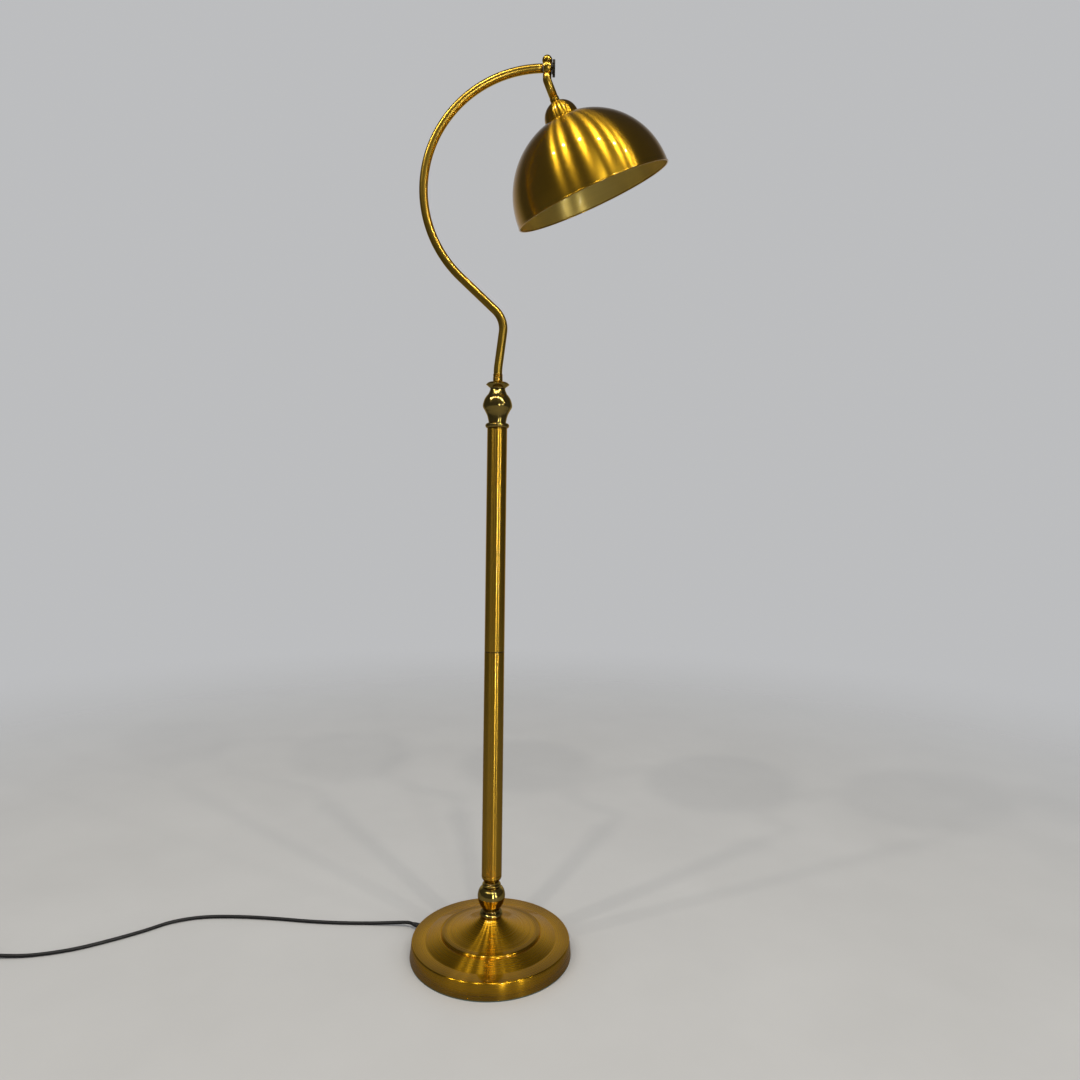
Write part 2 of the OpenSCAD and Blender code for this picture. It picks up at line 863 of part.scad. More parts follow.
module urn_neck() {
    waist_z = 0.45 * neck_h;
    edge_z = 0.8 * neck_h;
    color(polished_brass)
    translate([0, 0, neck_z])
    difference() {
        turned(concat(
            smooth([
                [urn_top_r - 0.8, 0],
                [0.6 * neck_r + 0.4 * urn_top_r, 0.2 * neck_h],
                [neck_r, waist_z],
                [neck_r + 0.6, 0.55 * neck_h]
            ], 4),
            [[flange_r - 0.4, edge_z - 0.5], [flange_r, edge_z], [flange_r - 0.4, edge_z + 0.5]],
            smooth([
                [flange_r - 2.5, neck_h - 1.8],
                [0.5 * (flange_r + swivel_r), neck_h - 0.3],
                [swivel_r + 0.6, neck_h]
            ], 3)
        ), thread_hole_r);
        translate([0, 0, neck_h - socket_depth])
        cylinder(r = socket_tail_r + run, h = socket_depth + 1);
    }
}

module urn_nipple() {
    color(steel)
    translate([0, 0, urn_nipple_z])
    pipe(thread_r, wire_hole_r, urn_nipple_top_z - urn_nipple_z);
}

// Swivel

module swivel_socket() {
    color(satin_brass)
    difference() {
        union() {
            translate([0, 0, socket_tail_z])
            cylinder(r = socket_tail_r, h = socket_depth + socket_h);
            translate([0, 0, neck_top_z])
            cylinder(r = swivel_r, h = socket_h);
        }
        translate([0, 0, socket_tail_z - 1])
        cylinder(r = thread_hole_r, h = urn_nipple_top_z - socket_tail_z + 1);
        translate([0, 0, urn_nipple_top_z])
        cylinder(r = socket_tail_r - 0.8, h = clip_room_top_z - urn_nipple_top_z);
        translate([0, 0, clip_room_top_z - 1])
        cylinder(r = journal_r, h = socket_top_z - clip_room_top_z + 2);
    }
}

module arm_ferrule() {
    color(satin_brass)
    difference() {
        union() {
            translate([0, 0, ferrule_z])
            cylinder(r = swivel_r, h = ferrule_h);
            translate([0, 0, spigot_z])
            cylinder(r = spigot_r, h = ferrule_z - spigot_z + 1);
        }
        translate([0, 0, clip_top_z - clip_t])
        pipe(spigot_r + 1, clip_groove_r, clip_t);
        translate([0, 0, spigot_z - 1])
        cylinder(r = wire_hole_r, h = ferrule_top_z - spigot_z + 2);
        translate([0, 0, ferrule_seat_z])
        cylinder(r = arm_r + run, h = ferrule_h);
    }
}

module swivel_clip() {
    color(steel)
    translate([0, 0, clip_top_z - clip_t])
    difference() {
        pipe(socket_tail_r - 1.2, clip_groove_r + run, clip_t);
        translate([0, -1.5, -1])
        cube([socket_tail_r, 3, clip_t + 2]);
    }
}

module swivel_washer() {
    color(black)
    translate([0, 0, socket_top_z])
    pipe(swivel_r - 0.5, journal_r + slip, swivel_washer_t);
}

// Arm

module arm_tube() {
    color(satin_brass)
    bent_tube(arm_start, arm_runs, arm_r, arm_bore_r);
}

module arm_sleeve() {
    last = len(arm_runs) - 1;
    color(satin_brass)
    bent_tube(path_at(arm_start, arm_runs, last), [arm_runs[last]], sleeve_r, arm_r + run);
}

module arm_hub() {
    color(polished_brass)
    translate([hub_x, 0, hub_z])
    difference() {
        union() {
            intersection() {
                sphere(hub_r);
                translate([-hub_seat, -hub_r, -hub_flat])
                cube([hub_seat + hub_face, 2 * hub_r, 2 * hub_flat]);
            }
            translate([-hub_seat - hub_spigot_len, 0, 0])
            rotate([0, 90, 0])
            cylinder(r = hub_spigot_r, h = hub_spigot_len + 1);
        }
        translate([0, 0, -hub_r])
        cylinder(r = hub_bore_r, h = 2 * hub_r);
        rotate([0, 90, 0])
        cylinder(r = clamp_r + run, h = 2 * hub_r);
        translate([-hub_seat - hub_spigot_len - 1, 0, 0])
        rotate([0, 90, 0])
        cylinder(r = wire_hole_r, h = hub_spigot_len + hub_seat + 1);
    }
}

module arm_wire() {
    color(black)
    bent_rod([0, spigot_z, 90], wire_runs, wire_r);
}

// The clamp screw's frame: the hub's middle is at 0 and +Z runs out through the screw
module clamp_frame() {
    translate([hub_x, 0, hub_z])
    rotate([0, 90, 0])
    children();
}

module clamp_screw() {
    tip = spindle_r + free;
    color(steel)
    clamp_frame()
    translate([0, 0, tip])
    cylinder(r = clamp_r, h = hub_face + knob_gap + knob_t - 1 - tip);
}

module clamp_knob() {
    hollow_r = 2.4;
    color(dark_brass)
    clamp_frame()
    difference() {
        union() {
            translate([0, 0, hub_face + free])
            cylinder(r = knob_boss_r, h = knob_gap + knob_t - free);
            translate([0, 0, hub_face + knob_gap])
            cylinder(d = knob_d, h = knob_t);
        }
        translate([0, 0, hub_face])
        cylinder(r = clamp_r + touch, h = knob_gap + knob_t - 1);
        for (i = [0 : knob_hollows - 1])
            rotate([0, 0, (i + 0.5) * 360 / knob_hollows])
            translate([knob_d / 2 + 0.6 * hollow_r, 0, hub_face])
            cylinder(r = hollow_r, h = knob_gap + knob_t + 1);
    }
}

// Head

module spindle() {
    color(steel)
    translate([hub_x, 0, 0])
    difference() {
        union() {
            translate([0, 0, stem_top_z - plug_in_stem])
            cylinder(r = thread_r, h = plug_in_stem);
            translate([0, 0, stem_top_z])
            cylinder(r = spindle_r, h = finial_z - stem_top_z);
            translate([0, 0, finial_z])
            cylinder(r = spindle_thread_r, h = spindle_top_z - finial_z);
        }
        translate([0, 0, stem_top_z - plug_in_stem - 1])
        cylinder(r = spindle_r - 1.6, h = hub_z + 3 - stem_top_z + plug_in_stem + 1);
        translate([0, 0, hub_z])
        rotate([0, -90, 0])
        cylinder(r = spindle_r - 1.6, h = 2 * spindle_r);
    }
}

module hub_washers() {
    color(steel)
    for (z = [hub_z + hub_flat, stem_top_z])
        translate([hub_x, 0, z])
        pipe(spindle_r + 1.6, hub_bore_r + slip, hub_washer_t);
}

module ball_finial() {
    color(polished_brass)
    translate([hub_x, 0, 0])
    difference() {
        translate([0, 0, finial_centre_z])
        sphere(finial_r);
        translate([-finial_r, -finial_r, finial_z - finial_r])
        cube([2 * finial_r, 2 * finial_r, finial_r]);
        translate([0, 0, finial_z - 1])
        cylinder(r = spindle_thread_r + run, h = spindle_top_z - finial_z + 1.5);
    }
}

module stem() {
    color(satin_brass)
    stem_plane()
    bent_tube(stem_start, [[stem_upright], [elbow_r, head_tilt], [stem_len]], stem_r, stem_bore_r);
}

module stem_nipple() {
    color(steel)
    head_frame()
    translate([0, 0, stem_nipple_s])
    pipe(thread_r, wire_hole_r, stem_nipple_end_s - stem_nipple_s);
}

module stem_wire() {
    color(black)
    stem_plane()
    bent_rod([0, stem_top_z - plug_in_stem, -90], [
        [stem_upright - plug_in_stem],
        [elbow_r, head_tilt],
        [stem_nipple_end_s - elbow_len]
    ], wire_r);
}

module stem_collar() {
    color(satin_brass)
    head_frame()
    translate([0, 0, stem_end_s])
    turned([
        [stem_r, 0],
        [stem_collar_r, 1.1],
        [stem_collar_r, stem_collar_h - 1.1],
        [stem_r, stem_collar_h]
    ], thread_hole_r);
}

module shade_cap() {
    color(satin_brass)
    head_frame()
    difference() {
        translate([0, 0, cap_s])
        sphere(cap_r);
        translate([0, 0, cap_s])
        sphere(cap_r - shade_t);
        translate([0, 0, shade_s])
        sphere(shade_r + touch);
        translate([-cap_r, -cap_r, cap_s])
        cube(2 * cap_r);
        cylinder(r = thread_hole_r, h = cap_s);
    }
}

module shade() {
    color(satin_brass)
    head_frame()
    translate([0, 0, shade_s])
    union() {
        difference() {
            sphere(shade_r);
            sphere(shade_in_r);
            translate([-shade_r, -shade_r, shade_skirt])
            cube(2 * shade_r);
            translate([0, 0, -shade_r - 1])
            cylinder(r = thread_hole_r, h = shade_r);
        }
        translate([0, 0, shade_skirt])
        rotate_extrude()
        translate([sqrt(shade_r * shade_r - shade_skirt * shade_skirt) - shade_t / 2, 0])
        circle(hem_r, $fn = 24);
    }
}

module shade_nut() {
    color(steel)
    head_frame()
    translate([0, 0, shade_nut_s])
    pipe(shade_nut_r, thread_hole_r, shade_nut_h);
}

module holder_cap() {
    color(black)
    head_frame()
    translate([0, 0, holder_s])
    turned(smooth([
        [shade_nut_r + 1, 0],
        [0.75 * holder_r, 0.16 * holder_cap_h],
        [0.96 * holder_r, 0.5 * holder_cap_h],
        [holder_r, holder_cap_h]
    ], 3), thread_hole_r);
}

module holder_sleeve() {
    rib_h = 4;
    color(black)
    head_frame()
    translate([0, 0, sleeve_s])
    union() {
        pipe(holder_r - 1, sleeve_bore_r, holder_len);
        translate([0, 0, holder_len - rib_h])
        pipe(holder_r + 1, sleeve_bore_r, rib_h);
    }
}

module holder_insert() {
    color(cream)
    head_frame()
    translate([0, 0, sleeve_s])
    cylinder(r = sleeve_bore_r - run, h = insert_h);
}

module holder_contact() {
    color("#c7923a")
    head_frame()
    translate([0, 0, sleeve_s + insert_h])
    cylinder(r = 4, h = contact_h);
}

module bulb_cap() {
    tip_h = 3;
    color(steel)
    head_frame()
    translate([0, 0, bulb_s])
    turned([
        [4.5, 0],
        [5.5, 0.6],
        [bulb_cap_r - 1.6, tip_h],
        [bulb_cap_r, tip_h + 1],
        [bulb_cap_r, bulb_cap_h]
    ], 0);
}

module bulb_glass() {
    ball_z = bulb_len - bulb_r;
    shoulder = 25;
    color(cream)
    head_frame()
    translate([0, 0, glass_s])
    turned(concat(
        smooth([
            [bulb_cap_r - 0.3, 0],
            [bulb_cap_r + 1.4, 0.18 * ball_z],
            [0.45 * bulb_cap_r + 0.55 * bulb_r, 0.5 * ball_z],
            [bulb_r * cos(shoulder), ball_z - bulb_r * sin(shoulder)]
        ], 3),
        arc([0, ball_z], bulb_r, 6 - shoulder, 88, 14),
        [[0, bulb_len]]
    ), 0);
}

// Mains lead

module mains_cord() {
    color(black)
    cord_tube(smooth(cord_route, cord_parts), cord_r, cord_sides);
}

module switch_shape() {
    rounded_plate([switch_len, switch_w], switch_corner_r);
}

module switch_room() {
    rounded_plate([switch_len - 2 * switch_wall, switch_w - 2 * switch_wall], switch_corner_r - switch_wall);
}

module foot_switch_base() {
    color(black)
    translate([switch_x, switch_y, 0])
    difference() {
        linear_extrude(switch_base_h)
        switch_shape();
        translate([0, 0, switch_wall])
        linear_extrude(switch_base_h)
        switch_room();
    }
}

module foot_switch_cover() {
    color(black)
    translate([switch_x, switch_y, 0])
    difference() {
        intersection() {
            translate([0, 0, switch_base_h])
            linear_extrude(switch_cover_h)
            switch_shape();
            translate([-switch_len, 0, switch_top_z - switch_crown_r])
            rotate([0, 90, 0])
            cylinder(r = switch_crown_r, h = 2 * switch_len);
        }
        translate([0, 0, switch_base_h - 1])
        linear_extrude(switch_roof_z - switch_base_h + 1)
        switch_room();
        cylinder(r = button_r + free, h = switch_top_z + 1);
    }
}

module foot_switch_contacts() {
    color(cream)
    translate([switch_x, switch_y, switch_wall])
    linear_extrude(1.6)
    rounded_plate([1.6 * button_r, 1.2 * button_r], 2);
}

module foot_switch_button() {
    flange_z = switch_roof_z - free - button_flange_t;
    foot_z = switch_wall + 1.6 + button_travel + free;
    edge = 1.2;
    color(dark_brass)
    translate([switch_x, switch_y, 0])
    turned([
        [0.4 * button_r, foot_z],
        [0.4 * button_r, flange_z],
        [button_r + button_flange_w, flange_z],
        [button_r + button_flange_w, flange_z + button_flange_t],
        [button_r, flange_z + button_flange_t],
        [button_r, switch_top_z + button_rise - edge],
        [button_r - edge, switch_top_z + button_rise]
    ], 0);
}

// The coil's centre line: a straight way in, the turns, and the tail down to the plug
function coil_radius(a) =
    let (half = 180 * coil_turns)
    coil_out_r - coil_step * (a < half ? a : 2 * half - a) / 360;

function coil_height(a) =
    let (t = min(max((a - 180 * (coil_turns - 0.5)) / 180, 0), 1))
    coil_low_z + (coil_high_z - coil_low_z) * t * t * (3 - 2 * t);

coil_loops = [
    for (i = [0 : coil_turns * coil_rings])
        let (a = i * 360 / coil_rings)
        [
            coil_x + coil_radius(a) * cos(90 + a),
            coil_y + coil_radius(a) * sin(90 + a),
            coil_height(a)
        ]
];
coil_route = concat(
    [
        [switch_x - switch_len / 2, switch_y, switch_cord_z],
        [switch_x - switch_len / 2 - cord_d, switch_y, switch_cord_z],
        [switch_x - switch_len / 2 - 24, switch_y, coil_low_z]
    ],
    coil_loops,
    [
        [plug_x, coil_y - 15, coil_high_z - 0.4],
        [plug_x, coil_y - 30, coil_high_z - 1.6],
        [plug_x, coil_y - 42, plug_z + 0.4],
        [plug_x, coil_y - plug_tail_s + cord_d, plug_z],
        [plug_x, coil_y - plug_tail_s, plug_z]
    ]
);

// The least gap between turns, measured on points at least half a turn apart along the cord
coil_gap = min([
    for (i = [0 : len(coil_loops) - 1], j = [i + coil_rings / 2 : 1 : len(coil_loops) - 1])
        norm(coil_loops[i] - coil_loops[j])
]) - cord_d;

module cord_coil() {
    echo(least_coil_gap = coil_gap);
    color(black)
    cord_tube(coil_route, cord_r, coil_sides);
}

// The tie goes round the turns of both layers, on the side towards the lamp
module coil_tie() {
    inner_r = min(coil_radius(630), coil_radius(990)) - cord_r - free;
    outer_r = max(coil_radius(270), coil_radius(1350)) + cord_r + free;
    top_z = coil_high_z + cord_r + free;
    color(steel)
    translate([coil_x, coil_y + tie_w / 2, 0])
    rotate([90, 0, 0])
    linear_extrude(tie_w)
    difference() {
        translate([inner_r - tie_t, 0])
        square([outer_r - inner_r + 2 * tie_t, top_z + tie_t]);
        translate([inner_r, tie_t])
        square([outer_r - inner_r, top_z - tie_t]);
    }
}

// The plug's line: +Z runs away from the coil, out of the face with the pins
module plug_frame() {
    translate([plug_x, coil_y, plug_z])
    rotate([90, 0, 0])
    children();
}

module plug_body() {
    face_l = 8;
    corner_r = 5;
    color(black)
    plug_frame()
    difference() {
        union() {
            translate([0, 0, plug_tail_s])
            cylinder(r1 = cord_r + 0.8, r2 = plug_t / 2 - 1, h = plug_boot_len);
            hull() {
                translate([0, 0, plug_back_s])
                cylinder(r = plug_t / 2 - 1, h = 2, $fn = 32);
                translate([0, 0, plug_face_s - face_l])
                linear_extrude(face_l)
                rounded_plate([plug_w, plug_t], corner_r, $fn = 32);
            }
        }
        for (side = [-1, 1])
            translate([side * pin_gap / 2, 0, plug_face_s - face_l])
            cylinder(r = pin_root_r + touch, h = face_l + 1);
    }
}

module plug_pins() {
    root = 7;
    color(steel)
    plug_frame()
    for (side = [-1, 1])
        translate([side * pin_gap / 2, 0, plug_face_s])
        union() {
            cylinder(r = pin_r, h = pin_len);
            translate([0, 0, -root])
            cylinder(r = pin_root_r, h = root + 1);
        }
}

felt_pad();
base_weight();
base_shell();
base_spacer();
base_nipple();
base_washer();
base_nut();
strain_relief();
column_wire();
foot_ring();
lower_baluster();
lower_collar();
lower_plug();
lower_tube();
column_coupler();
upper_tube();
upper_plug();
urn_ring();
urn();
urn_neck();
urn_nipple();
swivel_socket();
arm_ferrule();
swivel_clip();
swivel_washer();
arm_tube();
arm_sleeve();
arm_hub();
arm_wire();
clamp_screw();
clamp_knob();
spindle();
hub_washers();
ball_finial();
stem();
stem_nipple();
stem_wire();
stem_collar();
shade_cap();
shade();
shade_nut();
holder_cap();
holder_sleeve();
holder_insert();
holder_contact();
bulb_cap();
bulb_glass();
mains_cord();
foot_switch_base();
foot_switch_cover();
foot_switch_contacts();
foot_switch_button();
cord_coil();
coil_tie();
plug_body();
plug_pins();
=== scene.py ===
# %% [markdown]
# # An adjustable floor lamp in antique brass
# The lamp stands on a stepped, spun base. Two tubes make its column, with turned fittings at both
# ends. A hooked arm swivels on top, and a dome shade hangs from a ball at the arm's end. The CAD
# model gives every piece its place, so this lesson is about looks: smooth turned forms, brushed
# metal that draws light out into bands, and a cord that lies as a cord does.

# %% Load the frame
import json
import math

import bmesh
import bpy
from mathutils import Matrix, Vector


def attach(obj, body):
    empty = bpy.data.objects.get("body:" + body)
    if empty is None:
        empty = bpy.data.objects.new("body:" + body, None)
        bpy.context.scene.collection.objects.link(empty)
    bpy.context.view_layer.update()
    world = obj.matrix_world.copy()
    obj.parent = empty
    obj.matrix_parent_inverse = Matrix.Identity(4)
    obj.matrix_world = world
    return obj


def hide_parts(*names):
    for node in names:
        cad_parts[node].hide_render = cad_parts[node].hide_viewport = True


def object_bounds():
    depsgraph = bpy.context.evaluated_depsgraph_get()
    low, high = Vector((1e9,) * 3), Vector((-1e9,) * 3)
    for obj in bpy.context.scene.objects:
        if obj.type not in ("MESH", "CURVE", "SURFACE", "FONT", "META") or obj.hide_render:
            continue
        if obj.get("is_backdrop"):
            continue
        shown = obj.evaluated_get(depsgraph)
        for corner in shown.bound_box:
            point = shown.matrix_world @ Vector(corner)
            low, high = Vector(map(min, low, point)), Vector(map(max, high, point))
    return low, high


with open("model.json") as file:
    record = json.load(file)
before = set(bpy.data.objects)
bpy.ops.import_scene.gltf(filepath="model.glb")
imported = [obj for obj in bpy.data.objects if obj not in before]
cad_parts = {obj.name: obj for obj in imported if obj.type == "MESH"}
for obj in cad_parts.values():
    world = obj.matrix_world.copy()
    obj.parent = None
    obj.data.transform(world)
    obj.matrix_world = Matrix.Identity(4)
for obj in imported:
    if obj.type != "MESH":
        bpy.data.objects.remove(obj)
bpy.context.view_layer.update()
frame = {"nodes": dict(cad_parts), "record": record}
nodes = frame["nodes"]

# %% [markdown]
# ## Camera
# The photo was taken level, from about half the lamp's height, with a wide lens. A level camera
# keeps the column upright, and the lens shift lowers the view without tipping it. The picture is
# rolled by under one degree, which a small turn about the line of sight repeats.

# %% Place the camera
camera_data = bpy.data.cameras.new("camera")
camera_data.sensor_width = 36.0
camera_data.lens = 25.67
camera_data.shift_y = -0.0231
camera = bpy.data.objects.new("camera", camera_data)
camera.location = (0.0767, -1.3475, 0.7656)
camera.rotation_euler = (math.radians(90), math.radians(-0.72), 0)
bpy.context.collection.objects.link(camera)
bpy.context.scene.camera = camera
print("camera at", tuple(round(v, 3) for v in camera.location))

# %% [markdown]
# ## Small helpers
# Lengths are written in millimetres, as on a drawing, and MM turns them into metres. A smooth
# curve through a few chosen points serves both the cord's route and the outlines of turned pieces.

# %% Curves through points
MM = 0.001


def smooth(knots, parts):
    """A curve through all knots, with a number of steps between two."""
    knots = [Vector(k) for k in knots]
    last = len(knots) - 1
    points = []
    for i in range(last):
        a, b = knots[max(i - 1, 0)], knots[i]
        c, d = knots[i + 1], knots[min(i + 2, last)]
        for j in range(parts):
            t = j / parts
            points.append(0.5 * (
                2 * b + (c - a) * t
                + (2 * a - 5 * b + 4 * c - d) * t ** 2
                + (3 * b - a - 3 * c + d) * t ** 3
            ))
    return points + [knots[-1]]


def arc(centre, radius, start, end, parts):
    """Points of an arc in an outline, from one angle to another in degrees."""
    angles = [math.radians(start + (end - start) * i / parts) for i in range(parts + 1)]
    return [
        Vector((centre[0] + radius * math.cos(a), centre[1] + radius * math.sin(a)))
        for a in angles
    ]


# %% [markdown]
# ## Node helpers
# A material is a small graph. These helpers keep each graph readable: one makes a node and sets
# its values, one feeds a socket with a link or a number, and the rest make the nodes that come
# back most often.

# %% Node helpers
def add_node(tree, kind, **settings):
    made = tree.nodes.new(kind)
    for name, value in settings.items():
        if name in made.inputs:
            made.inputs[name].default_value = value
        else:
            setattr(made, name, value)
    return made


def feed(tree, socket, value):
    """Links a socket to another one, or sets it to a plain value."""
    if isinstance(value, bpy.types.NodeSocket):
        tree.links.new(value, socket)
    else:
        socket.default_value = value


def math_node(tree, operation, *values):
    made = add_node(tree, "ShaderNodeMath", operation=operation)
    for socket, value in zip(made.inputs, values):
        feed(tree, socket, value)
    return made.outputs[0]


MIX_SOCKETS = {"FLOAT": (0, 2, 3), "RGBA": (0, 6, 7)}
MIX_RESULT = {"FLOAT": 0, "RGBA": 2}


def mix_node(tree, kind, *values):
    """Mixes two numbers or colours; the values are the factor, the first and the second."""
    made = add_node(tree, "ShaderNodeMix", data_type=kind)
    for index, value in zip(MIX_SOCKETS[kind], values):
        feed(tree, made.inputs[index], value)
    return made.outputs[MIX_RESULT[kind]]


def smooth_step(tree, value, start, end, low, high):
    """Rises from low to high while a value goes from start to end."""
    made = add_node(tree, "ShaderNodeMapRange", interpolation_type="SMOOTHSTEP")
    settings = {"Value": value, "From Min": start, "From Max": end, "To Min": low, "To Max": high}
    for label, setting in settings.items():
        feed(tree, made.inputs[label], setting)
    return made.outputs[0]


def new_group(name, sockets_in, sockets_out):
    """A shader node group with named sockets; returns the tree and its two end nodes."""
    tree = bpy.data.node_groups.new(name, "ShaderNodeTree")
    for label, kind, value in sockets_in:
        socket = tree.interface.new_socket(label, in_out="INPUT", socket_type=kind)
        if value is not None:
            socket.default_value = value
    for label, kind in sockets_out:
        tree.interface.new_socket(label, in_out="OUTPUT", socket_type=kind)
    return tree, tree.nodes.new("NodeGroupInput"), tree.nodes.new("NodeGroupOutput")


def use_group(tree, group, **values):
    made = tree.nodes.new("ShaderNodeGroup")
    made.node_tree = group
    for label, value in values.items():
        made.inputs[label].default_value = value
    return made


def ramp_node(tree, fac, stops):
    """A colour ramp between two (position, colour) stops."""
    made = tree.nodes.new("ShaderNodeValToRGB")
    for element, (position, colour) in zip(made.color_ramp.elements, stops):
        element.position = position
        element.color = (*colour, 1.0)
    tree.links.new(fac, made.inputs["Fac"])
    return made.outputs["Color"]


def new_material(name):
    """An empty material; returns it, its tree and its Principled shader."""
    material = bpy.data.materials.new(name)
    material.use_nodes = True
    tree = material.node_tree
    return material, tree, tree.nodes["Principled BSDF"]


# %% [markdown]
# ## Brush lines
# A spinner holds abrasive cloth against the turning metal, so the finest scratches run round the
# piece. Each turned piece below has a UV map whose U goes round and whose V goes along the
# outline in metres. The group bends U into a circle, so the pattern closes on itself, and squeezes
# the noise along V into thin lines.

# %% Group: brush lines
COARSE_LINES, SPUN_LINES, FINE_LINES = 900, 1300, 2200  # waves of noise in a metre
brush_lines, g_in, g_out = new_group(
    "brush_lines",
    [
        ("UV", "NodeSocketVector", None),
        ("Lines", "NodeSocketFloat", COARSE_LINES),
        ("Drift", "NodeSocketFloat", 0.6),
    ],
    [("Mask", "NodeSocketFloat")],
)
parts = add_node(brush_lines, "ShaderNodeSeparateXYZ")
brush_lines.links.new(g_in.outputs["UV"], parts.inputs[0])
turn = math_node(brush_lines, "MULTIPLY", parts.outputs["X"], 2 * math.pi)
place = add_node(brush_lines, "ShaderNodeCombineXYZ")
for axis, operation in (("X", "COSINE"), ("Y", "SINE")):
    wave = math_node(brush_lines, operation, turn)
    drift = math_node(brush_lines, "MULTIPLY", wave, g_in.outputs["Drift"])
    brush_lines.links.new(drift, place.inputs[axis])
along = math_node(brush_lines, "MULTIPLY", parts.outputs["Y"], g_in.outputs["Lines"])
brush_lines.links.new(along, place.inputs["Z"])
scratches = add_node(brush_lines, "ShaderNodeTexNoise", Scale=1.0, Detail=3.0, Roughness=0.6)
brush_lines.links.new(place.outputs[0], scratches.inputs["Vector"])
brush_lines.links.new(scratches.outputs["Fac"], g_out.inputs["Mask"])
print("group", brush_lines.name)

# %% [markdown]
# ## Antique tone
# Antique brass is brass with a thin brown stain under lacquer. The stain is never even: it drifts
# between a warm gold and an olive brown, and it is darker where the buff can't reach. The group
# mixes the two tones with slow noise and darkens the hollows by a mask.

# %% Group: antique tone
antique_tone, g_in, g_out = new_group(
    "antique_tone",
    [
        ("Gold", "NodeSocketColor", (0.8, 0.5, 0.1, 1.0)),
        ("Stain", "NodeSocketColor", (0.4, 0.25, 0.05, 1.0)),
        ("Lines", "NodeSocketFloat", 0.5),
        ("Hollow", "NodeSocketFloat", 0.0),
        ("Size", "NodeSocketFloat", 14.0),
    ],
    [("Color", "NodeSocketColor")],
)
spot = add_node(antique_tone, "ShaderNodeTexCoord")
clouds = add_node(antique_tone, "ShaderNodeTexNoise", Detail=4.0, Roughness=0.55)
antique_tone.links.new(spot.outputs["Object"], clouds.inputs["Vector"])
antique_tone.links.new(g_in.outputs["Size"], clouds.inputs["Scale"])
cloud = math_node(antique_tone, "MULTIPLY_ADD", clouds.outputs["Fac"], 0.9, -0.3)
line = math_node(antique_tone, "MULTIPLY_ADD", g_in.outputs["Lines"], 0.5, -0.18)
both = math_node(antique_tone, "ADD", cloud, line)
stain = math_node(antique_tone, "ADD", both, g_in.outputs["Hollow"])
stain.node.use_clamp = True
blend = mix_node(antique_tone, "RGBA", stain, g_in.outputs["Gold"], g_in.outputs["Stain"])
antique_tone.links.new(blend, g_out.inputs["Color"])
print("group", antique_tone.name)


# %% [markdown]
# ## Brass finishes
# All brass here is one recipe with different values. The metal is anisotropic along the brush
# lines, which draws every lamp's reflection out into a band across them. A thin clear coat on top
# is the lacquer: it adds the small, sharp sparkles. Lines too fine to see don't tint the metal.

# %% Recipe: brass
CLOUD_SIZE = 14.0
EVEN_LINES, VISIBLE_GRAIN = 0.36, 0.02
LINE_DEPTH, LINE_SPREAD = 0.2 * MM, 0.04
QUARTER_TURN = 0.25


def brass(name, gold, stain, rough, stretch, lacquer, grain, lines=COARSE_LINES, metal=1.0):
    material, tree, shader = new_material(name)
    uv = add_node(tree, "ShaderNodeUVMap", uv_map="lathe")
    hollow = add_node(tree, "ShaderNodeAttribute", attribute_name="hollow")
    brush = use_group(tree, brush_lines, Lines=lines)
    tree.links.new(uv.outputs[0], brush.inputs["UV"])
    tone = use_group(
        tree, antique_tone,
        Gold=(*gold, 1), Stain=(*stain, 1), Size=CLOUD_SIZE, Lines=EVEN_LINES,
    )
    if grain > VISIBLE_GRAIN:
        tree.links.new(brush.outputs["Mask"], tone.inputs["Lines"])
    tree.links.new(hollow.outputs["Fac"], tone.inputs["Hollow"])
    tree.links.new(tone.outputs["Color"], shader.inputs["Base Color"])
    least = rough - LINE_SPREAD / 2
    spread = math_node(tree, "MULTIPLY_ADD", brush.outputs["Mask"], LINE_SPREAD, least)
    tree.links.new(spread, shader.inputs["Roughness"])
    relief = add_node(tree, "ShaderNodeBump", Strength=grain, Distance=LINE_DEPTH)
    tree.links.new(brush.outputs["Mask"], relief.inputs["Height"])
    tree.links.new(relief.outputs["Normal"], shader.inputs["Normal"])
    around = add_node(tree, "ShaderNodeTangent", direction_type="UV_MAP", uv_map="lathe")
    tree.links.new(around.outputs[0], shader.inputs["Tangent"])
    for label, value in (
        ("Metallic", metal), ("Specular Tint", (0.8, 0.6, 0.3, 1.0)),
        ("Anisotropic", stretch), ("Anisotropic Rotation", QUARTER_TURN),
        ("Coat Weight", lacquer), ("Coat Roughness", 0.04), ("Coat IOR", 1.45),
    ):
        shader.inputs[label].default_value = value
    return material


GOLD = (0.74, 0.41, 0.022)
OLIVE = (0.50, 0.31, 0.02)
brushed_brass = brass(
    "brushed_brass", GOLD, OLIVE,
    rough=0.29, stretch=1.0, lacquer=1.0, grain=0.22, lines=SPUN_LINES)
base_brass = brass(
    "base_brass", (0.80, 0.42, 0.016), (0.46, 0.24, 0.01),
    rough=0.275, stretch=1.0, lacquer=0.5, grain=0.2, lines=SPUN_LINES)
satin_brass = brass(
    "satin_brass", (0.72, 0.42, 0.04), (0.46, 0.265, 0.024),
    rough=0.26, stretch=1.0, lacquer=0.4, grain=0.003, lines=FINE_LINES)
tube_brass = brass(
    "tube_brass", (0.66, 0.42, 0.06), (0.48, 0.30, 0.035),
    rough=0.28, stretch=0.2, lacquer=0.0, grain=0.003, lines=FINE_LINES)
# Darkened colours with a near-black stain: partly real stain, partly painted shade for the dark
# reflections of polished fittings.
polished_brass = brass(
    "polished_brass", (0.54, 0.38, 0.09), (0.07, 0.05, 0.014),
    rough=0.13, stretch=0.5, lacquer=0.4, grain=0.003, lines=FINE_LINES)
